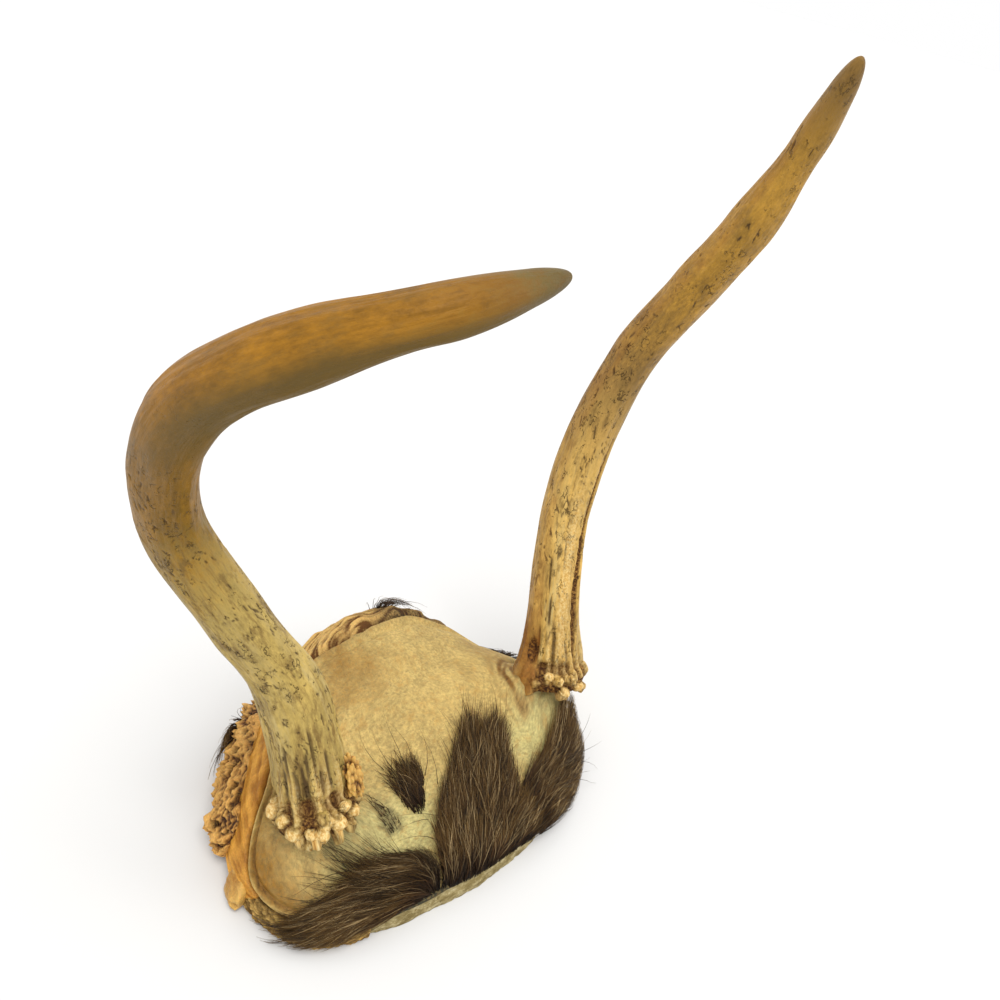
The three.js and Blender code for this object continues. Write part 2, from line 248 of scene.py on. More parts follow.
def on_skin(place, lift):
    """Point on the hide from its place on the hide spread out flat, raised by lift."""
    depth = min(math.hypot(place[0], place[1]) / SURFACE_REACH, 1.0)
    skin = on_dome(math.atan2(place[1], place[0]), depth, SKIN)
    return under_collars(skin, 0.0, CLIMB) + lift * skin_normal(place)


def skin_normal(place):
    """Direction out of the hide at a place on the hide spread out flat."""
    step, turn = 0.5 / SURFACE_REACH, 0.02
    depth = min(math.hypot(place[0], place[1]) / SURFACE_REACH, 0.99)
    angle = math.atan2(place[1], place[0])
    here = on_dome(angle, depth, SKIN)
    out = on_dome(angle, depth + step, SKIN) - here
    side = on_dome(angle + turn, depth, SKIN) - here
    return out.cross(side).normalized() if side.length > 1e-6 else Vector((0, 0, 1))


# ------------------------------------------------------------------ antler centre lines

def rounded_line(points, count=400):
    """Evenly spaced points on a centripetal Catmull-Rom curve, with its length."""
    points = [Vector(p) for p in points]
    ends = [2 * points[0] - points[1], *points, 2 * points[-1] - points[-2]]
    fine = []
    for p0, p1, p2, p3 in zip(ends, ends[1:], ends[2:], ends[3:]):
        d0, d1, d2 = (math.sqrt((b - a).length) for a, b in ((p0, p1), (p1, p2), (p2, p3)))
        t1 = ((p1 - p0) / d0 - (p2 - p0) / (d0 + d1) + (p2 - p1) / d1) * d1
        t2 = ((p2 - p1) / d1 - (p3 - p1) / (d1 + d2) + (p3 - p2) / d2) * d1
        for k in range(50):
            t = k / 50
            bend = (-3 * p1 + 3 * p2 - 2 * t1 - t2) * t * t + (2 * p1 - 2 * p2 + t1 + t2) * t ** 3
            fine.append(p1 + t1 * t + bend)
    fine.append(points[-1])
    runs = [0.0]
    for a, b in zip(fine, fine[1:]):
        runs.append(runs[-1] + (b - a).length)
    even, i = [], 0
    for k in range(count):
        target = runs[-1] * k / (count - 1)
        while i < len(fine) - 2 and runs[i + 1] < target:
            i += 1
        even.append(fine[i].lerp(fine[i + 1], (target - runs[i]) / (runs[i + 1] - runs[i])))
    return even, runs[-1]


class Shaft:
    """An antler's centre line with a frame carried along it, and its thickness."""

    def __init__(self, side):
        self.spec = ANTLERS[side]
        self.points, self.length = rounded_line(self.spec["line"])
        self.axes, self.fronts = [], []
        front = Vector((0, -1, 0))
        last = len(self.points) - 1
        for k in range(last + 1):
            axis = (self.points[min(k + 1, last)] - self.points[max(k - 1, 0)]).normalized()
            front = (front - axis * front.dot(axis)).normalized()
            self.axes.append(axis)
            self.fronts.append(front)

    def frame(self, height):
        """Centre, axis, front and side directions at a height over the foot."""
        x = clamp(height / self.length) * (len(self.points) - 1)
        i = min(int(x), len(self.points) - 2)
        centre = self.points[i].lerp(self.points[i + 1], x - i)
        axis = self.axes[i].lerp(self.axes[i + 1], x - i).normalized()
        front = self.fronts[i].lerp(self.fronts[i + 1], x - i).normalized()
        if height < 0:
            centre = centre + axis * height
        return centre, axis, front, axis.cross(front)

    def from_foot(self, point):
        """Height of a point over the foot, its offset from the axis there, and its turn from the front."""
        axis, front = self.axes[0], self.fronts[0]
        off = point - self.points[0]
        height = off.dot(axis)
        away = off - axis * height
        return height, away, math.atan2(away.dot(axis.cross(front)), away.dot(front))

    def radius(self, height):
        """Thickness of the plain shaft, halved, at a height over the foot."""
        x = clamp(height / self.length) * (len(self.spec["diameters"]) - 1)
        i = min(int(x), len(self.spec["diameters"]) - 2)
        w = smoothstep(0, 1, x - i)
        return (self.spec["diameters"][i] * (1 - w) + self.spec["diameters"][i + 1] * w) / 2


SHAFTS = {side: Shaft(side) for side in ANTLERS}


def plainness(shaft, angle):
    """1 where the burr is a plain flare that the hide climbs, 0 where it has pearls."""
    degrees = math.degrees(angle)
    smooth_from, smooth_to = shaft.spec["smooth"]
    return smoothstep(0, 14, min(degrees - smooth_from, smooth_to - degrees))


def under_collars(point, drop, climb=0.0):
    """Draws a point of the bone or hide up, or down, to the foot of a burr that it lies near."""
    for shaft in SHAFTS.values():
        distance = (point - shaft.points[0]).length
        if distance > COLLAR_REACH:
            continue
        height, away, turn = shaft.from_foot(point)
        aim = -1.0 - drop + climb * plainness(shaft, turn)
        if height < aim:
            drawn = 1 - smoothstep(8.5, 19.0, distance)
        else:
            drawn = 1 - smoothstep(12.4, 15.0, away.length)
        point = point + shaft.axes[0] * (aim - height) * drawn
    return point


# ------------------------------------------------------------------ making meshes

def finished(bm, name, material, slot, *nodes):
    """Turns a bmesh in millimetres into a piece in metres that rides on the root body."""
    for face in bm.faces:
        face.smooth = True
    bmesh.ops.scale(bm, vec=(MM, MM, MM), verts=bm.verts)
    mesh = bpy.data.meshes.new(name)
    bm.to_mesh(mesh)
    bm.free()
    mesh.materials.append(material)
    piece = bpy.data.objects.new(name, mesh)
    bpy.context.scene.collection.objects.link(piece)
    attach(piece, "root")
    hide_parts(*nodes)
    return piece


def moulded(sides, rings, place, marks=()):
    """A closed ball moved point by point. place(angle, t) takes t from 0 at the upper pole to 1 at the
    lower one, and gives the point, the place for the grain, and a value for each mark."""
    bm = bmesh.new()
    around_count = max(int(sides * FINENESS), 12)
    ring_count = max(int(rings * FINENESS), 8)
    bmesh.ops.create_uvsphere(bm, u_segments=around_count, v_segments=ring_count, radius=1.0)
    grain = bm.verts.layers.float_vector.new("grain")
    layers = [bm.verts.layers.float.new(mark) for mark in marks]
    for vert in bm.verts:
        t = math.acos(clamp(vert.co.z, -1, 1)) / math.pi
        point, along, values = place(math.atan2(vert.co.y, vert.co.x), t)
        vert.co = point
        vert[grain] = along
        for layer, value in zip(layers, values):
            vert[layer] = value
    return bm


def on_ball(angle, t):
    """Point of a ball of radius 1: t is 0 at the upper pole and 1 at the lower one."""
    z = math.cos(t * math.pi)
    flat = math.sqrt(max(1 - z * z, 0.0))
    return math.cos(angle) * flat, math.sin(angle) * flat, z


def pillow(sides, rings, spec, shape, marks=()):
    """A pad of flesh on the dome. shape(u, v, up, angle, depth) gives its height over the bone, where
    u and v run from -1 to 1 along and down it and up is 1 on the outside at the middle."""
    middle = math.radians((spec["from"] + spec["to"]) / 2)
    half = math.radians((spec["to"] - spec["from"]) / 2)

    def place(angle, t):
        u, v, z = on_ball(angle, t)
        blunt = math.copysign(1 - (1 - abs(u)) ** 2, u)
        around_angle = middle - half * blunt
        depth = (spec["top"] + spec["bottom"]) / 2 + v * (spec["bottom"] - spec["top"]) / 2
        lift, values = shape(u, v, max(z, 0.0), around_angle, depth)
        point = on_dome(around_angle, depth, lift if z > 0 else spec["seat"])
        point.z = max(point.z, 0.0)
        return point, laid_flat(around_angle, depth) + Vector((0, 0, lift)), values

    return moulded(sides, rings, place, marks)


# ------------------------------------------------------------------ shader helpers

def node(tree, kind, settings=None, output=0, **inputs):
    """Adds a node, sets its settings and its inputs, and gives one of its outputs. An input is given by
    its name, or as in0, in1 and so on by its number."""
    made = tree.nodes.new("ShaderNode" + kind)
    for key, value in (settings or {}).items():
        setattr(made, key, value)
    for key, value in inputs.items():
        numbered = key.startswith("in") and key[2:].isdigit()
        socket = made.inputs[int(key[2:])] if numbered else made.inputs[key]
        if isinstance(value, bpy.types.NodeSocket):
            tree.links.new(value, socket)
        else:
            socket.default_value = value
    return made.outputs[output]


def maths(tree, operation, a, b=0.0, clamped=False):
    return node(tree, "Math", {"operation": operation, "use_clamp": clamped}, in0=a, in1=b)


def times(tree, a, b, clamped=False):
    return maths(tree, "MULTIPLY", a, b, clamped)


def blend(tree, factor, a, b, how="MIX"):
    return node(tree, "Mix", {"data_type": "RGBA", "blend_type": how}, 2, in0=factor, in6=a, in7=b)


def stained(tree, colour, mask, strength, stain):
    """Lays a screen colour over another where a mask says, up to a strength."""
    return blend(tree, times(tree, mask, strength), colour, linear(stain))


def tinted(tree, colour, value):
    """A colour made darker or lighter by a grey value."""
    grey = node(tree, "CombineColor", {}, 0, Red=value, Green=value, Blue=value)
    return blend(tree, 1.0, colour, grey, "MULTIPLY")


def clouds(tree, place, scale, detail, roughness=0.5, output=0):
    """Soft noise, about 0.5 on average."""
    return node(tree, "TexNoise", {}, output, Vector=place, Scale=scale, Detail=detail, Roughness=roughness)


def stops(tree, value, *pairs):
    """A colour ramp with the given (position, screen colour) stops."""
    ramp = tree.nodes.new("ShaderNodeValToRGB")
    elements = ramp.color_ramp.elements
    while len(elements) < len(pairs):
        elements.new(0.5)
    for element, (position, colour) in zip(elements, pairs):
        element.position = position
        element.color = linear(colour)
    tree.links.new(value, ramp.inputs[0])
    return ramp.outputs[0]


def span(tree, value, low, high, to_low=0.0, to_high=1.0):
    return node(tree, "MapRange", {"clamp": True}, in0=value, in1=low, in2=high, in3=to_low, in4=to_high)


def mark(tree, name):
    """A value painted on the points of a piece."""
    return node(tree, "Attribute", {"attribute_name": name}, "Fac")


def grain_place(tree, stretch=(1.0, 1.0, 1.0)):
    place = node(tree, "Attribute", {"attribute_name": "grain"}, "Vector")
    return node(tree, "VectorMath", {"operation": "MULTIPLY"}, in0=place, in1=stretch)


def effect(name, outputs, build, **inputs):
    """A shader node group, built once, with named inputs and outputs."""
    group = bpy.data.node_groups.get(name)
    if group:
        return group
    group = bpy.data.node_groups.new(name, "ShaderNodeTree")
    for label, default in inputs.items():
        kind = "NodeSocketVector" if label == "Place" else "NodeSocketFloat"
        socket = group.interface.new_socket(name=label, in_out="INPUT", socket_type=kind)
        if kind == "NodeSocketFloat":
            socket.default_value = default
    for label in outputs:
        group.interface.new_socket(name=label, in_out="OUTPUT", socket_type="NodeSocketFloat")
    start = group.nodes.new("NodeGroupInput")
    end = group.nodes.new("NodeGroupOutput")
    for label, value in zip(outputs, build(group, {s.name: s for s in start.outputs if s.name})):
        group.links.new(value, end.inputs[label])
    return group


def flecks_build(tree, given):
    """Short dark pits and flecks: cells of a Voronoi pattern, kept where a second noise allows."""
    place = given["Place"]
    wobble = clouds(tree, place, 1.3, 2.0, output="Color")
    moved = node(tree, "VectorMath", {"operation": "MULTIPLY_ADD"}, in0=wobble, in1=(0.9,) * 3, in2=place)
    distance = node(tree, "TexVoronoi", {}, "Distance", Vector=moved, Scale=given["Density"])
    spots = span(tree, distance, 0.0, given["Size"], 1.0, 0.0)
    allowed = span(tree, clouds(tree, place, 0.11, 3.0), 0.42, 0.62)
    kept = span(tree, clouds(tree, place, 0.6, 1.0), 0.45, 0.6)
    return [times(tree, spots, times(tree, allowed, kept))]


def mottle_build(tree, given):
    """Soft patches on two scales, about 0.5 on average."""
    coarse = clouds(tree, given["Place"], given["Scale"], 4.0, 0.6)
    fine = clouds(tree, given["Place"], times(tree, given["Scale"], 7.0), 3.0, 0.65)
    return [maths(tree, "ADD", times(tree, coarse, 0.6), times(tree, fine, 0.4))]


def placed(tree, group, **inputs):
    """Puts a node group in a material with its own values, and gives its output."""
    made = tree.nodes.new("ShaderNodeGroup")
    made.node_tree = group
    for key, value in inputs.items():
        if isinstance(value, bpy.types.NodeSocket):
            tree.links.new(value, made.inputs[key])
        else:
            made.inputs[key].default_value = value
    return made.outputs[0]


def flecks(tree, place, density, size):
    group = effect("Flecks", ["Mask"], flecks_build, Place=None, Density=1.0, Size=0.3)
    return placed(tree, group, Place=place, Density=density, Size=size)


def mottle(tree, place, scale):
    group = effect("Mottle", ["Patches"], mottle_build, Place=None, Scale=0.2)
    return placed(tree, group, Place=place, Scale=scale)


def surface(name, build, coat=0.0, subsurface=0.0):
    """A material: build(tree) gives its colour, roughness and height in millimetres."""
    material = bpy.data.materials.new(name)
    material.use_nodes = True
    tree = material.node_tree
    shader = tree.nodes["Principled BSDF"]
    colour, roughness, height = build(tree)
    tree.links.new(colour, shader.inputs["Base Color"])
    tree.links.new(roughness, shader.inputs["Roughness"])
    if height is not None:
        normal = node(tree, "Bump", {}, 0, Height=height, Strength=1.0, Distance=MM)
        tree.links.new(normal, shader.inputs["Normal"])
    shader.inputs["Specular IOR Level"].default_value = 0.2
    shader.inputs["Coat Weight"].default_value = coat
    shader.inputs["Coat Roughness"].default_value = 0.3
    shader.inputs["Subsurface Weight"].default_value = subsurface
    shader.inputs["Subsurface Scale"].default_value = 0.002
    return material


# ------------------------------------------------------------------ antlers

def pearl_rise(spot, normal, pearls):
    """How far along the normal the nearest pearl rises over a spot, and which pearl."""
    best, which = 0.0, -1
    for k, (centre, radius, stretch) in enumerate(pearls):
        gap = centre - spot
        if max(abs(gap.x), abs(gap.y)) > PEARL_REACH or abs(gap.z) > 1.5 * PEARL_REACH:
            continue
        gap = Vector((gap.x, gap.y, gap.z / stretch))
        ahead = gap.dot(normal)
        uneven = 1 + 0.45 * noise.noise(spot * 0.55 + centre * 3.1)
        aside = (gap - normal * ahead).length * uneven
        if aside < radius:
            rise = ahead + math.sqrt(radius * radius - aside * aside) * (0.85 + 0.3 * noise.noise(spot * 0.8))
            if rise > best:
                best, which = rise, k
    return best, which


def antler_pearls(shaft):
    """All the pearls of a burr, as centre, radius and stretch, with a tone for each from dark to pale:
    those listed, then others to fill the rest of the ring."""
    rng = random.Random(shaft.spec["seed"])
    listed = [(*pearl, 1.0) for pearl in shaft.spec["pearls"]]
    listed += [(*pearl, 0.25) for pearl in shaft.spec["dark_pearls"]]
    smooth_from, smooth_to = shaft.spec["smooth"]
    angle = 62.0
    while angle < (250 if smooth_from == smooth_to else 355 + smooth_from):
        size = rng.uniform(1.1, 2.3)
        listed.append((angle, rng.uniform(-0.5, 4.5), size, rng.uniform(0.8, 1.4), rng.uniform(0.3, 1.0)))
        angle += rng.uniform(7, 15)
    pearls, tones = [], []
    for degrees, height, radius, stretch, tone in listed:
        turn = math.radians(degrees)
        ring = BURR_RADIUS - 0.5 * radius
        pearls.append((Vector((math.cos(turn) * ring, math.sin(turn) * ring, height)), radius, stretch))
        tones.append(tone)
    return pearls, tones


def antler_scratches(shaft, settings):
    """Dark grooves and short scratches in steps of 5 mm of height, each as turn, height, slant, half length,
    half width and depth."""
    rng = random.Random(shaft.spec["seed"] + 50)
    listed = []
    for degrees, low, high, width in shaft.spec["grooves"]:
        listed.append((math.radians(degrees), (low + high) / 2, 0.0, (high - low) / 2, width, 0.7))
    for _ in range(settings.scratches):
        height = BURR_TOP + 3 + (rng.random() ** 1.4) * shaft.spec["scratched"] * shaft.length
        turn = rng.uniform(-math.pi, math.pi)
        if noise.noise(Vector((math.cos(turn) * 1.5, math.sin(turn) * 1.5, height / 16))) < -0.05:
            continue
        slant = rng.gauss(0, 0.25)
        half = 0.35 + 1.8 * rng.random() ** 2
        width = rng.uniform(0.11, 0.24)
        listed.append((turn, height, slant, half, width, 0.25))
        if rng.random() < 0.35:
            listed.append((turn + 0.06, height - half * 0.4, -slant - 0.5, half * 0.7, width, 0.28))
    sorted_in = {}
    for scratch in listed:
        for step in range(int((scratch[1] - scratch[3]) / 5), int((scratch[1] + scratch[3]) / 5) + 1):
            sorted_in.setdefault(step, []).append(scratch)
    return sorted_in


def turn_between(a, b):
    return (a - b + math.pi) % (2 * math.pi) - math.pi


def antler_mesh(side, settings):
    shaft = SHAFTS[side]
    pearls, tones = antler_pearls(shaft)
    shift = Vector((7.3, -4.1, 2.9)) * shaft.spec["seed"]
    scratches = antler_scratches(shaft, settings)
    crack = [(math.radians(a), h) for a, h in shaft.spec["crack"]]
    hollows = [(math.radians(a), *rest) for a, *rest in shaft.spec["hollows"]]
    foot_share, burr_share = 0.05, 0.24
    foot_radius = 8.2

    def outline(height, plain):
        """Radius of the antler without its ridges."""
        ring = 1 - ((height - BURR_MIDDLE) / BURR_HALF_HEIGHT) ** 2
        flare = (BURR_RADIUS - 0.9 - shaft.radius(0)) * math.exp(-max(height - 4, 0) / 6.5)
        body = shaft.radius(height) + flare + 2.6 * plain * math.exp(-height / 7.0)
        blunt = clamp((height / shaft.length - 0.96) / 0.04)
        body *= math.sqrt(1 - blunt * blunt)
        if ring <= 0:
            return body
        return max(body, foot_radius + (BURR_RADIUS - foot_radius) * math.sqrt(ring) * (1 - 0.8 * plain))

    def place(angle, t):
        up = 1 - t
        plain = plainness(shaft, angle)
        if up < foot_share:
            height, radius = 0.0, outline(0.0, plain) * up / foot_share
            slope = 1.0
        else:
            x = (up - foot_share) / (burr_share - foot_share)
            if x < 1:
                height = BURR_TOP * x
            else:
                y = (up - burr_share) / (1 - burr_share)
                height = BURR_TOP + (shaft.length - BURR_TOP) * (1.15 * y - 0.15 * y * y)
            radius = outline(height, plain)
            slope = clamp((outline(height - 0.2, plain) - outline(height + 0.2, plain)) / 0.4, -2.5, 2.5)
        ring_x, ring_y = math.cos(angle), math.sin(angle)
        flat = Vector((ring_x * radius, ring_y * radius, height))
        if up < foot_share:
            normal = Vector((ring_x * 0.3, ring_y * 0.3, -1)).normalized()
        else:
            normal = Vector((ring_x, ring_y, slope)).normalized()
        share = height / shaft.length

        # Lengthwise ridges, strongest low on the shaft, running down into the burr.
        lane = Vector((ring_x * 2.0, ring_y * 2.0, height / 42)) + shift
        ridge = noise.noise(lane) + 0.55 * noise.noise(lane * 2.1 + Vector((5, 0, 0)))
        near_foot = math.exp(-max(height - BURR_TOP, 0) / 45)
        fade = 1 - smoothstep(0.85, 1.0, share)
        depth = settings.ridge_depth * (0.32 + 0.95 * near_foot) * ridge * fade
        fine = noise.noise(Vector((ring_x * 9, ring_y * 9, height / 7)) + shift)
        depth += 0.10 * fine * fade
        lump = noise.noise(Vector((ring_x * 1.2, ring_y * 1.2, height / 14)) - shift)
        depth += 0.35 * lump * fade
        lower_down = 0.25 + 0.75 * math.exp(-max(height - BURR_TOP, 0) / 60)
        valley = clamp(0.5 - 0.75 * ridge - 0.4 * fine) * lower_down

        scored = 0.0
        for turn, at, slant, half_length, half_width, deep in scratches.get(int(height / 5), ()):
            along = (height - at) / half_length
            if abs(along) < 1:
                aside = turn_between(angle, turn) * radius - slant * (height - at) + 0.25 * fine
                aside /= half_width
                if abs(aside) < 2.5:
                    cut = (1 - along * along) * bump(aside, 1.0)
                    depth -= deep * cut
                    scored = max(scored, smoothstep(0.15, 0.6, cut))

        # Drying grooves between the ridges just over the burr.
        groove_zone = smoothstep(3, 8, height) * math.exp(-max(height - 8, 0) / settings.groove_reach)
        furrow = noise.noise(Vector((ring_x * 4.6, ring_y * 4.6, height / 30)) + shift * 2)
        groove = smoothstep(0.12, 0.45, furrow) * groove_zone
        depth -= 0.7 * groove
        dirt_and_shade = 0.4 * groove

        # The granular seat of the pearls, dark between them: partly dirt, partly painted shade.
        seat = 1 - smoothstep(6.5, 9.5, height + 2.2 * furrow)
        if up < foot_share:
            seat = smoothstep(0.4, 0.9, up / foot_share)
        seat *= 1 - 0.75 * plain
        rib = 0.0
        for degrees, half_width in shaft.spec["ribs"] if height < RIB_TOP else ():
            waver = 0.5 * noise.noise(Vector((height / 3, degrees, 0)))
            aside = turn_between(angle, math.radians(degrees)) * radius + waver
            rib = max(rib, bump(aside, half_width))
        rib *= smoothstep(1.5, 4.0, height) * (1 - smoothstep(9, 20, height))
        seat *= 1 - 0.9 * rib
        depth += 0.55 * rib
        crumbs = 0.0
        if seat > 0:
            crumbs = 1.2 * cells(flat * 0.46 + shift) - 0.6 + 0.3 * noise.noise(flat * 1.6 + shift)
        depth += 0.6 * seat * crumbs - 0.8 * seat
        dirt_and_shade = max(dirt_and_shade, seat * clamp(1.1 - 0.4 * crumbs))
        pale = 0.45 * rib
        for degrees, half_width, top in shaft.spec["stripes"]:
            off_stripe = math.degrees(turn_between(angle, math.radians(degrees))) + 9 * fine
            length_wise = smoothstep(5, 14, height) * (1 - smoothstep(top / 2, top, height))
            pale = max(pale, 0.62 * bump(off_stripe, half_width) * length_wise)
        fading = 0.25 + 0.75 * (1 - smoothstep(6, 34, height))
        rust = clamp(plain * fading * fade * (0.95 + 0.9 * noise.noise(flat * 0.3)))
        dirt_and_shade = max(dirt_and_shade, 0.35 * rust)

        # Hollows and the crack are dug in and darkened inside: partly dirt, partly painted shade.
        for turn, at, half_width, half_length, hole in hollows:
            aside = turn_between(angle, turn) * radius / half_width
            along = (height - at) / half_length
            inside = bump(math.hypot(aside, along), 0.75)
            depth -= hole * inside
            dirt_and_shade = max(dirt_and_shade, smoothstep(0.12, 0.5, inside))
        for (turn_a, at_a), (turn_b, at_b) in zip(crack, crack[1:]):
            if at_a <= height < at_b:
                turn = turn_a + (turn_b - turn_a) * (height - at_a) / (at_b - at_a)
                waver = 0.45 * noise.noise(Vector((height / 2.2, 3.3, 1.1)))
                gap = turn_between(angle, turn) * radius + waver
                ends = smoothstep(crack[0][1], crack[0][1] + 8, height) * (1 - smoothstep(52, 78, height))
                opening = bump(gap, 0.9) * (0.3 + 0.7 * ends)
                depth -= 1.3 * opening
                dirt_and_shade = max(dirt_and_shade, smoothstep(0.12, 0.5, opening))
                depth += 0.25 * bump(gap - 1.6, 1.0) * ends

        spot = flat + normal * depth
        if height < BURR_TOP:
            rise, which = pearl_rise(spot, normal, pearls)
            if which >= 0:
                spot += normal * rise
                # Paler towards the top of each pearl, where the browns fade too: partly its own cream colour,
                # partly a painted highlight.
                share_up = smoothstep(0.22, 0.8, rise / pearls[which][1])
                pale = tones[which] * share_up
                dirt_and_shade *= 1 - share_up * (0.4 + 0.6 * tones[which])
        centre, axis, front, across = shaft.frame(max(height, 0.0))
        below = min(spot.z - height, 0.0) if height < 1 else spot.z - height
        below -= 1.2 * plain * (1 - smoothstep(0, 7, height))
        point = centre + front * spot.x + across * spot.y + axis * below
        facing = front * ring_x + across * ring_y
        # Painted shade, dull green-brown, on the sides that face down, in the upper half of the antler.
        under = smoothstep(-0.35, 0.45, -facing.z) * smoothstep(0.5, 0.68, share) * shaft.spec["shaded"]
        return point, Vector((spot.x, spot.y, height)), (dirt_and_shade, pale, share, under, valley, scored, rust)

    marks = ("dirt_and_shade", "pale", "share", "under", "valley", "scored", "rust")
    return moulded(settings.sides, settings.rings, place, marks)


def antler_surface(side, low, high):
    """Antler in four colours from its foot to its tip, with pits, streaks and dirt, painted shade in its
    recesses and underside, and partly painted highlights on its pearls.
    """
    middle, tip = ANTLER_MIDDLE[side], ANTLER_TIP[side]
    low_flecks, high_flecks = ANTLER_FLECKS[side]

    def build(tree):
        place = grain_place(tree)
        patches = mottle(tree, grain_place(tree, (1.0, 1.0, 0.45)), 0.16)
        streaks = clouds(tree, grain_place(tree, (1.0, 1.0, 0.12)), 1.5, 4.0, 0.65)
        share = mark(tree, "share")

        drift = maths(tree, "ADD", share, span(tree, patches, 0.3, 0.7, -0.07, 0.07))
        along = ((0.0, low), (0.31, low), (0.47, middle), (0.66, high), (0.88, high), (0.97, tip))
        colour = stops(tree, drift, *along)
        colour = tinted(tree, colour, span(tree, patches, 0.38, 0.62, 0.66, 1.26))

        streaked = times(tree, span(tree, streaks, 0.5, 0.72), span(tree, share, 0.35, 0.7, 0.55, 0.15))
        colour = blend(tree, streaked, colour, linear(ANTLER_STAINS["streak"]))
        valleys = maths(tree, "ADD", mark(tree, "valley"), span(tree, streaks, 0.3, 0.7, -0.35, 0.35))
        colour = stained(tree, colour, span(tree, valleys, 0.55, 1.05), 0.34, ANTLER_STAINS["valley"])
        crest = times(tree, span(tree, mark(tree, "valley"), 0.35, 0.0), span(tree, streaks, 0.35, 0.6))
        crest = times(tree, crest, span(tree, share, 0.1, 0.45, 0.75, 0.0))
        colour = blend(tree, crest, colour, linear(ANTLER_STAINS["crest"]))

        # Pits and short marks like those of a worm, kept in drifts.
        pits = flecks(tree, grain_place(tree, (1.0, 1.0, 0.55)), 0.85, 0.27)
        small_pits = flecks(tree, grain_place(tree, (1.0, 1.0, 0.45)), 1.7, 0.30)
        squashed = grain_place(tree, (1.0, 1.0, 0.6))
        worm = maths(tree, "SUBTRACT", clouds(tree, squashed, 0.75, 2.0, 0.6), 0.5)
        worm = span(tree, maths(tree, "ABSOLUTE", worm), 0.0, 0.045, 1.0, 0.0)
        drifts = clouds(tree, grain_place(tree, (1.0, 1.0, 0.5)), 0.12, 2.0)
        allowed = clouds(tree, squashed, 0.45, 3.0, 0.65)
        allowed = maths(tree, "ADD", allowed, span(tree, drifts, 0.35, 0.65, -0.1, 0.03))
        worm = times(tree, worm, span(tree, allowed, 0.52, 0.60))
        marks_here = maths(tree, "MAXIMUM", maths(tree, "MAXIMUM", pits, worm), times(tree, small_pits, 0.8))
        scatter = span(tree, share, 0.42, 0.75, low_flecks, high_flecks)
        marks_here = times(tree, marks_here, scatter, True)

        blots = clouds(tree, grain_place(tree, (1.0, 1.0, 0.4)), 0.3, 5.0, 0.7)
        blots = times(tree, span(tree, blots, 0.52, 0.64), span(tree, share, 0.4, 0.6, 0.75, 0.35))
        colour = blend(tree, blots, colour, linear(ANTLER_STAINS["blot"]))
        colour = stained(tree, colour, marks_here, 0.85, ANTLER_STAINS["fleck"])
        # Painted shade on the sides that face down in the upper half.
        colour = stained(tree, colour, mark(tree, "under"), 0.85, ANTLER_STAINS["olive_underside_shade"])
        colour = stained(tree, colour, mark(tree, "scored"), 0.85, ANTLER_STAINS["score"])

        crust = clouds(tree, place, 1.4, 4.0, 0.7)
        rusty = times(tree, mark(tree, "rust"), span(tree, streaks, 0.3, 0.7, 0.95, 0.55))
        colour = blend(tree, rusty, colour, linear(ANTLER_STAINS["rust"]))
        # Browns laid over dirt, and as painted shade in the seat of the pearls, the hollows and the crack.
        brown = stops(tree, crust, *zip((0.32, 0.52, 0.72), DIRT_AND_SHADE_BROWNS))
        dirt_and_shade_amount = times(tree, mark(tree, "dirt_and_shade"), span(tree, crust, 0.3, 0.6, 1.3, 0.75), True)
        colour = blend(tree, dirt_and_shade_amount, colour, brown)
        # Cream on the pearl tops and on pale ribs and stripes: partly their own colour, partly a painted
        # highlight on the pearls.
        cream = stops(tree, crust, *zip((0.28, 0.44, 0.62), PEARL_CREAMS))
        colour = blend(tree, mark(tree, "pale"), colour, cream)

        roughness = span(tree, maths(tree, "ADD", streaks, mark(tree, "dirt_and_shade")), 0.3, 1.2, 0.38, 0.75)
        smoother = maths(tree, "SUBTRACT", 1.0, mark(tree, "pale"))
        height = times(tree, times(tree, streaks, 0.22), smoother)
        height = maths(tree, "SUBTRACT", height, times(tree, marks_here, 0.35))
        height = maths(tree, "ADD", height, times(tree, clouds(tree, place, 3.0, 3.0, 0.6), 0.07))
        return colour, roughness, height
    return surface(f"Antler {side}", build)


# ------------------------------------------------------------------ bone plate

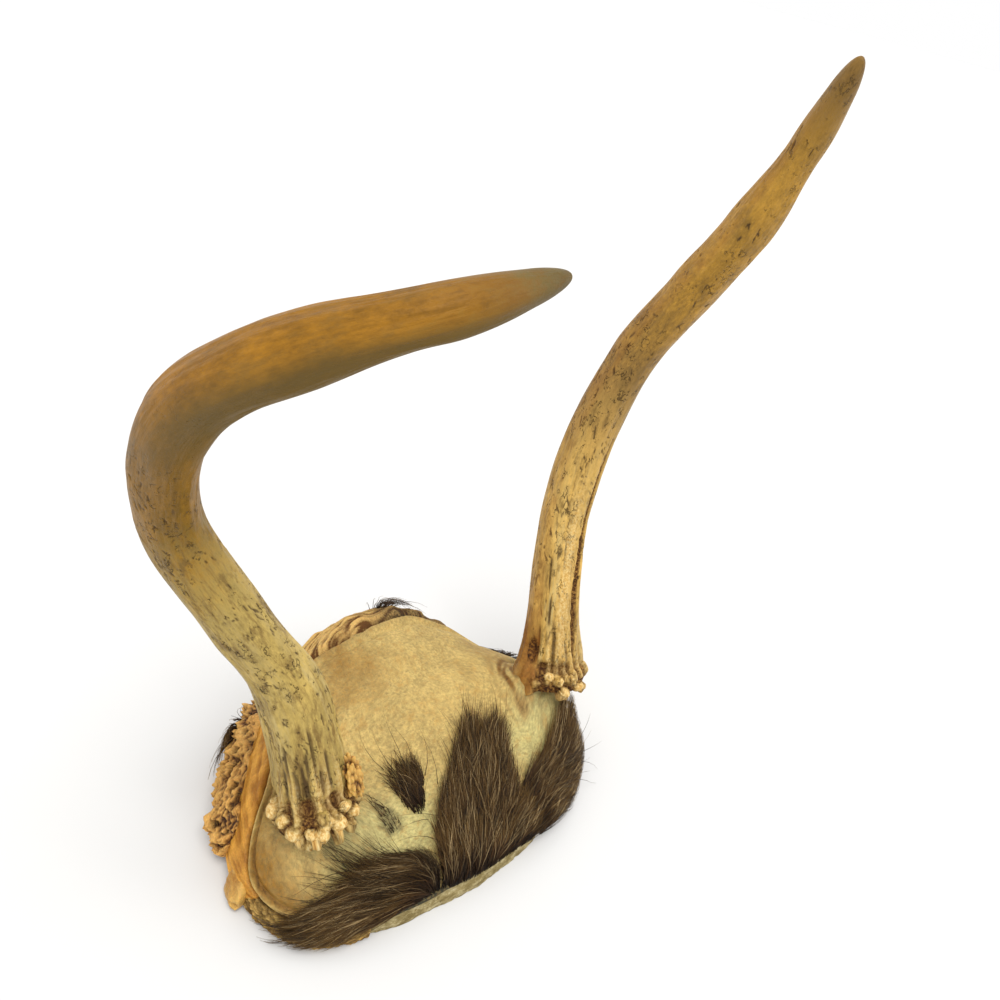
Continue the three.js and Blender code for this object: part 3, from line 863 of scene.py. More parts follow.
def bone_mesh(settings):
    """The plate: its top, then the flat saw cut, then the hollow of the braincase."""
    rim_share, cut_share = 0.62, 0.45

    def top_point(angle, depth):
        point = under_collars(on_dome(angle, depth, 0.0), 0.8)
        flat = laid_flat(angle, depth)
        chip = smoothstep(0.90, 1.0, depth) * noise.noise(Vector((angle * 9, 2.0, 0.4)))
        rough, coarse = noise.noise(flat * 0.5), noise.noise(flat * 1.3)
        point -= heading(angle) * (0.5 * abs(rough) + 0.35 * max(coarse, 0.0) + 0.7 * max(chip, 0.0))
        point.z = max(point.z, 0.0)
        return point

    def underside_point(angle, inward):
        chip = noise.noise(Vector((angle * 9, 2.0, 0.4)))
        rough = noise.noise(laid_flat(angle, 1.0) * 0.5)
        rim = on_dome(angle, 1.0, 0.0) - heading(angle) * (0.35 * abs(rough) + 0.7 * max(chip, 0.0))
        centre = Vector((0, CAVITY_CENTRE_Y, 0))
        reach = Vector((rim.x, rim.y - CAVITY_CENTRE_Y, 0))
        edge_share = 1 / math.hypot(reach.x / CAVITY[0], reach.y / CAVITY[1])
        if inward < cut_share:
            return centre + reach * (1 - (1 - edge_share) * inward / cut_share)
        turn = (inward - cut_share) / (1 - cut_share) * math.pi / 2
        point = centre + reach * edge_share * math.cos(turn)
        ripple = 0.5 * noise.noise(point * 0.12)
        point.z = CAVITY[2] * math.sin(turn) * (1 + 0.12 * ripple)
        return point

    def place(angle, t):
        if t < rim_share:
            depth = min(t / rim_share, 1.0)
            return top_point(angle, depth), laid_flat(angle, depth), (smoothstep(0.7, 1.0, depth),)
        point = underside_point(angle, (t - rim_share) / (1 - rim_share))
        return point, point + Vector((0, 0, 40)), (0.0,)

    return moulded(settings.bone_sides, settings.bone_rings, place, ("edge",))


def bone_surface(settings):
    base = tuple(settings.bone_colour)

    def build(tree):
        place = grain_place(tree)
        patches = mottle(tree, place, 0.22)
        pores = flecks(tree, place, 1.3, 0.36)
        dull, light = (0.63, 0.56, 0.36), (0.83, 0.80, 0.68)
        colour = stops(tree, patches, (0.30, (0.42, 0.33, 0.17)), (0.42, dull), (0.55, base), (0.7, light))
        colour = stained(tree, colour, pores, 0.8, BONE_STAINS["pore"])
        patch = span(tree, mottle(tree, place, 0.35), 0.42, 0.62)
        colour = stained(tree, colour, patch, 0.35, BONE_STAINS["patch"])
        edge = times(tree, mark(tree, "edge"), span(tree, patches, 0.45, 0.6, 0.75, 0.1))
        colour = blend(tree, edge, colour, linear(BONE_STAINS["edge"]))
        roughness = span(tree, patches, 0.3, 0.7, 0.55, 0.8)
        height = maths(tree, "SUBTRACT", times(tree, patches, 0.5), times(tree, pores, 0.4))
        return colour, roughness, height
    return surface("Porous bone", build)


# ------------------------------------------------------------------ hair patches on the hide spread out flat

# Each patch has its outline, guides as place and degrees that the hair points, the shortest and longest
# hair, how far it rises, how far it may pass the outline, how many hairs there are, how much they thin
# out to the deer's right, how dark the roots and the painted shade under the hair make the skin, and how far
# that dark smudges outwards.
HAIR_PATCHES = {
    "forehead": {
        "outline": (
            (-22, -42), (-19, -37), (-17, -32), (-14, -27), (-11, -24), (-7, -20.5), (-2, -18.5), (2, -15),
            (5.5, -12.5), (7.5, -10.5), (9, -11), (9.5, -14.5), (12, -14), (14.5, -13), (15.5, -15.5),
            (13.5, -20), (10.5, -25), (10, -31), (13, -35), (14, -49.5), (7, -50), (1, -49.5), (-6, -48.5),
            (-13, -47), (-19, -44.5),
        ),
        "guides": (
            (-19, -39, 62), (-14, -30, 60), (-8, -22, 55), (-13, -43, 68), (-4, -34, 58), (2, -28, 56),
            (-1, -46, 40), (6, -40, 32), (12, -41, 18), (2, -17, 62), (8, -12, 64), (10, -21, 57),
            (15, -14, 50),
        ),
        "length": (9.0, 14.0), "rise": 2.6, "overhang": 1.8,
        "count": 7400, "thinning": 0.0, "stain": 1.0, "smudge": 0.0,
    },
    "left_brow": {
        "outline": (
            (9, -41), (10, -33), (13, -31.5), (17, -30), (22, -27.5), (30, -24.5), (38, -23), (43, -23.5),
            (46, -29), (45, -34.5), (40.5, -40.5), (31.5, -46.5), (22, -50.5), (13, -51.5),
        ),
        "guides": (
            (8, -41, 34), (15, -38, 18), (17, -31, 30), (26, -25, 34), (36, -24, 38), (25, -33, 18),
            (25, -40, 2), (37, -33, 12), (40, -28, 24),
        ),
        "length": (8.0, 14.0), "rise": 3.6, "overhang": 4.0,
        "count": 6600, "thinning": 0.8, "stain": 1.0, "smudge": 0.0,
    },
    "right_brow": {
        "outline": (
            (-22, -42), (-19.5, -37), (-18.5, -32), (-20, -28), (-22.5, -25), (-26.5, -23), (-32, -23),
            (-37, -23.5), (-43, -23), (-49, -23), (-50, -27), (-46, -31), (-41, -34), (-35, -36),
            (-28, -40),
        ),
        "guides": (
            (-23, -39, 78), (-21.5, -33, 98), (-24, -28, 124), (-29, -26, 140), (-34, -26, 150),
            (-41, -26, 160), (-27, -32, 134), (-31, -34, 146), (-36, -32, 150), (-42, -29, 160),
            (-25, -36, 108),
        ),
        "length": (9.0, 15.0), "rise": 2.4, "overhang": 1.8,
        "count": 5200, "thinning": 0.8, "stain": 1.0, "smudge": 0.0,
    },
    "spot_centre": {
        "outline": (
            (-15.2, -21.5), (-13.4, -22.5), (-11.5, -20), (-9.3, -17), (-8.6, -13.5), (-9, -11),
            (-11.5, -9.5), (-13.8, -10.5), (-15, -14), (-15.6, -18),
        ),
        "guides": ((-14, -20, 77), (-13.5, -12, 86), (-10, -17, 66), (-9, -9, 72)),
        "length": (5.5, 9.0), "rise": 1.5, "overhang": 1.8,
        "count": 400, "thinning": 0.0, "stain": 0.45, "smudge": 0.0,
    },
    "spot_burr": {
        "outline": ((-21.0, -20.5), (-18.0, -20.8), (-16.9, -17), (-17.2, -13), (-18.0, -11.5), (-19.2, -14)),
        "guides": ((-19, -18, 80), (-18, -14, 86)),
        "length": (1.4, 2.4), "rise": 0.12, "overhang": 1.8,
        "count": 40, "thinning": 0.0, "stain": 0.75, "smudge": 1.4,
    },
}


def patch_depth(outline, x, y):
    """Distance into the outline of a patch, negative outside it."""
    inside, nearest = False, 1e9
    previous = outline[-1]
    for corner in outline:
        (x1, y1), (x2, y2) = previous, corner
        if (y1 > y) != (y2 > y) and x < (x2 - x1) * (y - y1) / (y2 - y1) + x1:
            inside = not inside
        run_x, run_y = x2 - x1, y2 - y1
        share = clamp(((x - x1) * run_x + (y - y1) * run_y) / (run_x * run_x + run_y * run_y))
        nearest = min(nearest, math.hypot(x - x1 - share * run_x, y - y1 - share * run_y))
        previous = corner
    return nearest if inside else -nearest


def in_hair(place):
    """How dark the skin is at a place from the roots of the hair and the painted shade under it, 0 to 1."""
    most = 0.0
    for patch in HAIR_PATCHES.values():
        xs = [p[0] for p in patch["outline"]]
        ys = [p[1] for p in patch["outline"]]
        if min(xs) - 2 < place.x < max(xs) + 2 and min(ys) - 2 < place.y < max(ys) + 2:
            ragged = 1.2 * noise.noise(place * 0.6) + patch["smudge"]
            stain = smoothstep(0.2, 2.6, patch_depth(patch["outline"], place.x, place.y) + ragged)
            most = max(most, stain * patch["stain"] * (1 - 0.75 * smoothstep(29, 42, -place.x)))
    return most


# ------------------------------------------------------------------ hide

# Tints of the hide: place on the hide spread out flat, radius, and warmth from cream to tan.
HIDE_TINTS = (
    (-47, -12, 10, 0.42), (-40, 2, 9, 0.3), (-44, -22, 7, 0.25), (37, -8, 6, 0.3), (-27, -24, 9, -0.4),
    (-18, -22, 9, -0.5), (22, -22, 11, -0.5), (32, -16, 9, -0.3), (0, 0, 16, 0.12), (-16, 12, 12, 0.2),
    (30, 4, 12, 0.2), (-8, 20, 10, 0.25),
)


def hide_mesh(settings):
    """The dried hide: its outside, its hem with the folds, then its underside."""
    hem_share = 0.76            # share of the rings that lie on the outside

    def place(angle, t):
        hem = around(HIDE_HEM, angle)
        hem += 0.008 * noise.noise(Vector((math.cos(angle) * 9, math.sin(angle) * 9, 1.7)))
        hem += 0.004 * noise.noise(Vector((math.cos(angle) * 26, math.sin(angle) * 26, 4.1)))
        degrees = math.degrees(angle) % 360
        fold = smoothstep(132, 150, degrees) * (1 - smoothstep(212, 228, degrees))
        back = smoothstep(8, 30, degrees) * (1 - smoothstep(125, 140, degrees))
        outside = t < hem_share
        depth = hem * t / hem_share if outside else hem * (1 - (t - hem_share) / (1 - hem_share))
        inward = (hem - depth) * SURFACE_REACH
        flat = laid_flat(angle, depth)
        lip = clamp(inward / 1.1)
        round_edge = math.sqrt(max(1 - (1 - lip) ** 2, 0.0))
        if outside:
            wave = 0.45 * noise.noise(flat * 0.09) + 0.22 * noise.noise(flat * 0.22 + Vector((3, 1, 0)))
            grain = 0.05 * noise.noise(flat * 1.2) + 0.03 * noise.noise(flat * 2.6)
            rim, dip, swell = bump(inward - 0.9, 0.9), bump(inward - 2.5, 0.7), bump(inward - 4.2, 1.0)
            roll = fold * (1.3 * rim - 0.6 * dip + 0.25 * swell)
            roll += back * (0.7 * bump(inward - 1.0, 1.0) - 0.9 * bump(inward - 3.6, 1.3))
            crease = 0.35 * fold * noise.noise(Vector((inward / 1.6, degrees / 26, 2)))
            crease *= bump(inward - 2.0, 4.5)
            relief = (wave + grain + roll + crease) * smoothstep(0, 2.0, inward)
            lift = HIDE_GAP + HIDE_THICKNESS * round_edge + relief
            point = under_collars(on_dome(angle, depth, lift), 0.0, CLIMB)
        else:
            lift = HIDE_GAP
            point = under_collars(on_dome(angle, depth, lift), 0.5)
        near_burr, torn_skin = 9.0, 0.0
        for shaft in SHAFTS.values():
            _, away, turn = shaft.from_foot(point)
            beside = away.length - COLLAR_RADIUS
            near_burr = min(near_burr, beside)
            streak = 0.5 + 1.6 * noise.noise(Vector((turn * 2.2, away.length * 0.9, 3.3)))
            torn_skin = max(torn_skin, plainness(shaft, turn) * bump(max(beside, 0.0), 5.0) * streak)
        # Darker in a band where the hide meets a burr, at the front and back hems and along the fold's edge
        # and its crease: painted shade in these creases. Darker too on the torn skin beside a plain burr.
        dirt_and_shade = 0.4 * bump(max(near_burr, 0.0), 1.2) * (0.6 + 0.6 * noise.noise(flat * 0.5))
        dirt_and_shade = max(dirt_and_shade, 0.8 * torn_skin)
        front_hem = smoothstep(214, 232, degrees) * (1 - smoothstep(345, 358, degrees))
        dirt_and_shade = max(dirt_and_shade, front_hem * bump(inward, 1.9) * 0.9)
        crease_line = bump(inward - 2.4 + 0.7 * noise.noise(flat * 0.3), 0.4)
        dirt_and_shade = max(dirt_and_shade, fold * bump(inward + 0.2, 0.5) * 0.8, fold * crease_line * 0.7)
        dirt_and_shade = max(dirt_and_shade, back * bump(inward, 1.6) * 0.6)
        grime = front_hem * bump(inward - 1.4, 1.9)
        warmth = 0.5
        for x, y, radius, tint in HIDE_TINTS:
            warmth += tint * bump(math.hypot(flat.x - x, flat.y - y), radius)
        warmth -= 0.35 * fold * bump(inward - 0.9, 0.8)
        warmth += 0.7 * clamp(torn_skin)
        hair = in_hair(flat) if outside else 0.0
        grain_lift = lift if outside else -20
        return point, flat + Vector((0, 0, grain_lift)), (clamp(dirt_and_shade), clamp(warmth), hair, grime)

    return moulded(settings.hide_sides, settings.hide_rings, place, ("dirt_and_shade", "warmth", "hair", "grime"))


def hide_surface(settings):
    cream, tan, pale = tuple(settings.cream), tuple(settings.tan), tuple(settings.middle)

    def build(tree):
        place = grain_place(tree)
        patches = mottle(tree, place, 0.10)
        warmth = maths(tree, "ADD", mark(tree, "warmth"), span(tree, patches, 0.3, 0.7, -0.16, 0.16))
        colour = stops(tree, warmth, (0.05, cream), (0.45, pale), (0.62, pale), (0.98, tan))
        speckle = clouds(tree, place, 1.4, 4.0, 0.7)
        colour = tinted(tree, colour, span(tree, speckle, 0.32, 0.68, 0.66, 1.32))
        ochre = span(tree, clouds(tree, place, 0.45, 5.0, 0.7), 0.52, 0.72)
        colour = stained(tree, colour, ochre, 0.6, HIDE_STAINS["ochre"])
        broad = clouds(tree, place, 0.16, 3.0, 0.6)
        colour = tinted(tree, colour, span(tree, broad, 0.35, 0.65, 0.86, 1.1))
        pores = flecks(tree, place, 1.6, 0.26)
        colour = stained(tree, colour, pores, 0.35, HIDE_STAINS["pore"])

        uneven = clouds(tree, place, 0.9, 4.0, 0.7)
        brown = stops(tree, uneven, (0.35, (0.20, 0.13, 0.06)), (0.65, (0.52, 0.36, 0.17)))
        # Brown where the hide is stained, and as painted shade in its creases and at its hems.
        dirt_and_shade_amount = times(tree, mark(tree, "dirt_and_shade"), span(tree, uneven, 0.35, 0.6, 1.2, 0.7), True)
        colour = blend(tree, dirt_and_shade_amount, colour, brown)
        grime = times(tree, mark(tree, "grime"), span(tree, uneven, 0.4, 0.6, 0.6, 1.3), True)
        colour = blend(tree, grime, colour, linear(HIDE_STAINS["grime"]))
        # Dark skin under the hair: its roots, and painted shade under it.
        roots = times(tree, mark(tree, "hair"), span(tree, speckle, 0.35, 0.6, 1.0, 0.8), True)
        colour = blend(tree, roots, colour, linear(HIDE_STAINS["hair_roots_and_shade"]))

        roughness = span(tree, speckle, 0.3, 0.7, 0.50, 0.68)
        height = maths(tree, "SUBTRACT", times(tree, speckle, 0.3), times(tree, pores, 0.12))
        return colour, roughness, height
    return surface("Dried hide", build, subsurface=0.05)


# ------------------------------------------------------------------ dried flesh

# Each pad reaches from one bearing to another in degrees and from a top to a bottom depth on the dome;
# its underside lies its seat over the bone.
FLESH = {
    "nape_flesh": {"from": 12, "to": 130, "top": 0.36, "bottom": 0.88, "seat": 0.15},
    "temple_muscle": {"from": 140, "to": 198, "top": 0.50, "bottom": 0.97, "seat": 0.15},
    "temple_crust": {"from": 136, "to": 184, "top": 0.72, "bottom": 1.0, "seat": 0.4},
    "brow_crust": {"from": 194, "to": 224, "top": 0.84, "bottom": 1.0, "seat": 0.0},
    "gristle_lump": {"from": 188, "to": 195, "top": 0.84, "bottom": 1.0, "seat": 0.0},
}


def past_hem(angle, depth):
    """0 under the hide, rising to 1 a little outside its hem."""
    hem = around(HIDE_HEM, angle)
    return smoothstep(hem - 0.008, hem + 0.035, depth)


def nape_shape(u, v, up, angle, depth):
    """Rolled tissue in strands that run along the nape."""
    flat = laid_flat(angle, depth)
    bend = depth + 0.05 * noise.noise(Vector((angle * 3.5, depth * 4, 5.1)))
    fibres = 0.8 * noise.noise(Vector((angle * 3, bend * 60, 0.3)))
    fibres += 0.8 * noise.noise(Vector((angle * 6, bend * 130, 2.3)))
    lumps = noise.noise(flat * 0.16)
    torn = noise.noise(Vector((angle * 9, depth * 3, 7.0)))
    body = up ** 0.45
    roll = bump(v + 0.55, 0.30)
    shape = 2.4 + 1.6 * roll + 0.65 * fibres + 0.4 * lumps + 0.6 * torn
    lift = 0.15 + body * past_hem(angle, depth) * shape
    # Darker between the fibres, painted shade, and darker towards the cut.
    dirt_and_shade = clamp(0.45 - 1.4 * fibres + 0.5 * smoothstep(0.5, 1.0, v))
    # Darkest where it runs under the hide's edge: painted shade.
    under_hide = bump(past_hem(angle, depth), 0.4)
    to_left = 1 - smoothstep(1.0, 1.5, angle)
    bared = 0.8 * smoothstep(0.35, 0.8, v + 0.3 * torn)
    return lift, (dirt_and_shade, clamp(0.95 * under_hide + bared + 0.75 * to_left))


def muscle_shape(u, v, up, angle, depth):
    """A smooth sheet with long wrinkles, and a low ridge near its outer edge."""
    wrinkle = noise.noise(Vector((angle * 2.6, depth * 26, 0.8)))
    wrinkle += 0.5 * noise.noise(Vector((angle * 6, depth * 60, 5.8)))
    cross = noise.noise(Vector((angle * 18, depth * 14, 3.1)))
    ridge = bump(v - 0.75, 0.2)
    broad = noise.noise(laid_flat(angle, depth) * 0.1)
    bare = past_hem(angle, depth)
    lift = 0.15 + up ** 0.5 * (2.9 + 0.5 * wrinkle + 0.35 * cross + 0.5 * ridge + 0.6 * broad) * bare
    # Darker in the troughs of the wrinkles, paler on them and on the ridge: painted shade and light.
    dirt_and_shade = clamp(0.42 - 0.9 * wrinkle - 0.5 * cross - 0.5 * ridge)
    # Darkest where it runs under the hide's edge, painted shade, and dark along its lower edge.
    return lift, (dirt_and_shade, clamp(0.95 * bump(bare - 0.3, 0.34) + 0.7 * bump(v - 0.97, 0.08)))


SPUR = (-60.5, 6.5)             # place of the small spur on the crust, on the hide spread out flat


def crust_shape(u, v, up, angle, depth):
    """Torn lumps and crumbs with deep pits between them, and a small spur at the outer edge."""
    flat = laid_flat(angle, depth)
    here = Vector((flat.x, flat.y, 8 * up))
    broad = noise.noise(here * 0.13)
    torn = 1 - 3.4 * abs(noise.noise(here * 0.2 + Vector((1.5 * broad, 4, 0))))
    lumps = 0.6 * cells(here * 0.36 + Vector((1.5 * broad, 0, 0))) + 0.55 * torn
    lumps += 0.4 * noise.noise(here * 0.6)
    crumbs = 0.8 * cells(here * 0.9) + 0.9 * noise.noise(here * 1.8) - 0.2
    pit = smoothstep(0.22, 0.5, noise.noise(here * 0.42 + Vector((9, 0, 3))))
    spur = 2.6 * bump(math.hypot(flat.x - SPUR[0], flat.y - SPUR[1]), 1.5)
    lift = 0.6 + up ** 0.6 * (5.6 + 2.4 * broad + 2.2 * lumps + 0.9 * crumbs - 3.2 * pit + spur)
    # Dark in the pits and in low places between the lumps, pale on the lumps: painted shade and light.
    dark = 2.0 * pit + 1.1 * smoothstep(0.55, -0.35, lumps + crumbs)
    return lift, (clamp(0.75 - 0.75 * lumps - 0.6 * crumbs), clamp(dark))


def brow_crust_shape(u, v, up, angle, depth):
    """A thin crumbly edge."""
    flat = laid_flat(angle, depth)
    crumbs = noise.noise(flat * 0.5) + 1.1 * cells(flat * 0.8) - 0.5 + 0.5 * noise.noise(flat * 2.0)
    lift = 0.15 + up ** 0.5 * (1.9 + 0.7 * crumbs) * past_hem(angle, depth)
    # Darker between the crumbs and paler on them: painted shade and light.
    return lift, (clamp(0.45 - 0.5 * crumbs), clamp(0.32 - 0.6 * crumbs))


def knob_shape(u, v, up, angle, depth):
    """A rounded lump, darker towards the cut."""
    crumbs = noise.noise(Vector((u * 1.6, v * 1.6, up))) + 0.5 * cells(Vector((u * 2.6, v * 2.6, up))) - 0.2
    # Darker between the crumbs, painted shade, and darker towards the cut.
    marks = (clamp(0.25 - 0.7 * crumbs), clamp(0.7 * smoothstep(0.4, 1.0, v)))
    return 0.2 + up ** 0.5 * (4.2 + 1.3 * crumbs), marks


# How each pad is shaped, and its faces round it and from its middle to its underside.
FLESH_SHAPES = {
    "nape_flesh": (nape_shape, 420, 130),
    "temple_muscle": (muscle_shape, 240, 120),
    "temple_crust": (crust_shape, 260, 130),
    "brow_crust": (brow_crust_shape, 220, 60),
    "gristle_lump": (knob_shape, 90, 60),
}


def flesh_surface(name, roughness, coat):
    light, dark, deep = FLESH_COLOURS[name]

    def build(tree):
        place = grain_place(tree)
        patches = mottle(tree, place, 0.3)
        drift = maths(tree, "ADD", mark(tree, "dirt_and_shade"), span(tree, patches, 0.3, 0.7, -0.35, 0.35))
        fine = clouds(tree, place, 2.2, 4.0, 0.7)
        # Pale on high places and dark in low ones: painted light and shade, from the height that each piece
        # marks.
        colour = stops(tree, drift, (0.05, light), (0.85, dark))
        colour = tinted(tree, colour, span(tree, fine, 0.3, 0.7, 0.8, 1.15))
        # The darkest colour goes where a piece marks it: painted shade in pits, low places and under the
        # hide's edge, and darker bared places of the nape tissue.
        pitted = times(tree, mark(tree, "dark"), span(tree, fine, 0.35, 0.6, 1.2, 0.7), True)
        colour = blend(tree, pitted, colour, linear(deep))
        gloss = span(tree, patches, 0.35, 0.65, roughness - 0.12, roughness + 0.15)
        return colour, gloss, times(tree, fine, 0.22)
    return surface(name, build, coat=coat, subsurface=0.08)


def burr_gristle_mesh():
    """Amber lumps on the nose side of the right antler, over its burr."""
    centre, radii = Vector((-35.7, -4.1, 32.0)), (3.0, 3.2, 6.4)
    axis = SHAFTS["right"].axes[0]
    side = axis.orthogonal().normalized()
    across = axis.cross(side)

    def place(angle, t):
        unit = Vector(on_ball(angle, t))
        lumps = cells(unit * 3.0 + Vector((2.4, 0, 0))) - 0.4 + 0.6 * noise.noise(unit * 1.6)
        grow = 0.80 + 0.34 * lumps
        local = side * unit.x * radii[0] + across * unit.y * radii[1] + axis * unit.z * radii[2]
        # Darker between the lumps and paler on them: painted shade and light.
        return centre + local * grow, unit * 5, (clamp(0.45 - lumps), clamp(-2.2 * lumps))

    return moulded(110, 80, place, ("dirt_and_shade", "dark"))


# ------------------------------------------------------------------ hair

STRAND_RINGS = 5
SILVER_EVERY = 22               # one hair in so many is silvery
# Single hairs: points on the hide spread out flat as (x, y, height over the skin).
STRAY_HAIRS = {
    "forehead": (
        ((2, -17, 0.5), (2.6, -12, 2.2), (2, -6, 2.6)), ((10, -24, 1), (13, -22.5, 2.5), (16.5, -21.5, 3)),
        ((-14, -24, 0.6), (-16.5, -21.5, 2.4), (-19, -20.5, 0.8)),
        ((-15.5, -29, 0.6), (-18, -24, 3.2), (-20.5, -22.5, 0.6)),
        ((-17, -33, 0.8), (-19.5, -27, 3.4), (-22, -25, 0.5)),
        ((-8, -19.5, 0.6), (-4.5, -13, 3.2), (-5.5, -7, 2.2)),
        ((6, -11, 0.6), (8.5, -7, 2.0), (10, -3.5, 2.4)),
        ((-12, -25, 0.6), (-16, -20, 2.6), (-17.5, -18, 0.6)),
    ),
    "left_brow": (
        ((36, -33, 1), (42, -30, 4), (48, -27, 6)), ((34, -36, 1), (40, -36, 4), (47, -35, 5)),
        ((30, -38, 1), (37, -39, 4), (44, -39, 5.5)), ((32, -24, 1), (38, -20, 3), (43, -18, 4)),
        ((38, -30, 2), (44, -26, 5), (49, -22, 7)), ((40, -33, 2), (45, -32, 6), (50, -30, 9)),
        ((34, -40, 2), (40, -42, 5), (46, -43, 8)), ((38, -35, 2), (43, -36, 5), (48, -38, 8)),
    ),
    "right_brow": (
        ((-24, -24, 0.6), (-23.6, -21.5, 1.6), (-23, -19, 1.6)),
        ((-30, -22, 1), (-36, -19.5, 2), (-43, -18.5, 1.5)),
        ((-33, -24, 1), (-40, -21, 2.5), (-47.5, -19.8, 1.5)),
    ),
    "spot_centre": (
        ((-12, -10, 0.5), (-11.8, -6, 2.2), (-11.2, -2.6, 2.4)),
        ((-10, -10, 0.5), (-8.4, -5.5, 2.4), (-7.8, -1, 2.6)),
        ((-9.4, -12, 0.5), (-7, -8, 2.4), (-7.4, -3, 2.2)),
        ((-13, -9, 0.4), (-14, -4.5, 2.0), (-13.5, -1.5, 1.6)),
        ((-9, -16, 0.5), (-5.4, -13, 2.6), (-4, -7, 1.6)),
    ),
}


def guided(guides, x, y):
    """Direction of the hair at a place, blended from the guides around it."""
    total = Vector((0, 0))
    for gx, gy, degrees in guides:
        weight = 1 / (0.5 + (x - gx) ** 2 + (y - gy) ** 2) ** 1.5
        turn = math.radians(degrees)
        total += Vector((math.cos(turn), math.sin(turn))) * weight
    return math.atan2(total.y, total.x)


def patch_strands(patch, rng, count):
    """The hairs of a patch, each a path of STRAND_RINGS points, a thickness and a tone."""
    outline = patch["outline"]
    xs = [p[0] for p in outline]
    ys = [p[1] for p in outline]
    strands, tries = [], 0
    while len(strands) < count and tries < count * 12:
        tries += 1
        x, y = rng.uniform(min(xs), max(xs)), rng.uniform(min(ys), max(ys))
        if patch_depth(outline, x, y) < 0.2 or rng.random() < patch["thinning"] * smoothstep(28, 44, -x):
            continue
        length = rng.uniform(*patch["length"])
        clump = noise.noise(Vector((x * 0.42, y * 0.42, 1.5))) + 0.8 * noise.noise(Vector((x, y, 4.5)))
        wander = math.radians(32 * clump + rng.gauss(0, 6))
        curl = rng.gauss(0, 0.05)
        flow = [(x, y)]
        for _ in range(STRAND_RINGS - 1):
            turn = guided(patch["guides"], *flow[-1]) + wander
            wander += curl
            step = length / (STRAND_RINGS - 1)
            flow.append((flow[-1][0] + math.cos(turn) * step, flow[-1][1] + math.sin(turn) * step))
        over = patch_depth(outline, *flow[-1])
        shrink = 1.0
        if over < -patch["overhang"]:
            shrink = rng.uniform(0.35, 0.8)
            if patch_depth(outline, *flow[-2]) < -0.67 * patch["overhang"] and rng.random() < 0.8:
                continue
        # Silvery hairs stand a little proud.
        stand = 1.12 if len(strands) % SILVER_EVERY == 0 else rng.uniform(0.3, 1.15)
        rise = patch["rise"] * stand * (1 + 0.3 * noise.noise(Vector((x * 0.4, y * 0.4, 5))))
        path = []
        for k, (px, py) in enumerate(flow):
            share = k / (STRAND_RINGS - 1)
            spot = (x + (px - x) * shrink, y + (py - y) * shrink)
            path.append(on_skin(spot, 0.05 + rise * (1 - (1 - share) ** 2) * (1 - 0.25 * share)))
        strands.append((path, rng.uniform(0.075, 0.125), clamp(0.45 + 0.55 * clump + rng.gauss(0, 0.25))))
    return strands


def stray_strands(hairs, rng):
    """Single hairs, each a curve through three places, as a path, a thickness and a tone."""
    strands = []
    for start, middle, end in hairs:
        path = []
        for k in range(STRAND_RINGS):
            t = k / (STRAND_RINGS - 1)
            point = [
                (1 - t) ** 2 * a + 2 * t * (1 - t) * b + t * t * c for a, b, c in zip(start, middle, end)
            ]
            path.append(on_skin(point[:2], point[2]))
        strands.append((path, rng.uniform(0.08, 0.11), 0.3))
    return strands


def wisp_strands(wisp, rng):
    """The hairs of a small tuft, each a path, a thickness and a tone."""
    strands = []
    (a1, d1, l1), (a2, d2, l2) = wisp["roots"], wisp["tips"]
    for _ in range(wisp["count"]):
        spread = rng.gauss(0, 1.0)
        stretch = rng.uniform(0.5, 1.1)
        sag = rng.gauss(0, 0.6)
        path = []
        for k in range(STRAND_RINGS):
            t = k / (STRAND_RINGS - 1)
            degrees = a1 + (a2 - a1) * t * stretch + spread * wisp["fan"][0] * (0.6 + t)
            depth = d1 + (d2 - d1) * t * stretch + spread * wisp["fan"][1] * (0.6 + t)
            lift = l1 + (l2 - l1) * t * stretch + sag * t + 1.2 * math.sin(t * math.pi)
            path.append(on_dome(math.radians(degrees), depth, lift))
        strands.append((path, rng.uniform(0.07, 0.12), rng.random()))
    return strands


# Small tufts: line of roots and line of tips as degrees, depth and height over the bone, how many hairs,
# and how far they fan out in degrees and depth.
WISPS = {
    "nape_hair": {"roots": (66, 0.53, 3.4), "tips": (55, 0.52, 5.0), "count": 70, "fan": (3.0, 0.010)},
    "ear_hair": {"roots": (149, 0.82, 6.8), "tips": (155, 0.85, 9.0), "count": 170, "fan": (2.0, 0.012)},
    "left_temple_hair": {"roots": (7, 0.76, 2.8), "tips": (10, 0.81, 4.6), "count": 150, "fan": (3.6, 0.022)},
}


def strand_blank():
    """One hair, straight and upright: a thin three-sided cone in STRAND_RINGS rings."""
    bm = bmesh.new()
    tall = STRAND_RINGS - 1
    bmesh.ops.create_cone(bm, cap_ends=True, segments=3, radius1=1.0, radius2=0.22, depth=tall)
    uprights = [e for e in bm.edges if abs(e.verts[0].co.z - e.verts[1].co.z) > 1]
    bmesh.ops.subdivide_edges(bm, edges=uprights, cuts=STRAND_RINGS - 2)
    bmesh.ops.translate(bm, vec=(0, 0, tall / 2), verts=bm.verts)
    mesh = bpy.data.meshes.new("hair blank")
    bm.to_mesh(mesh)
    bm.free()
    return mesh


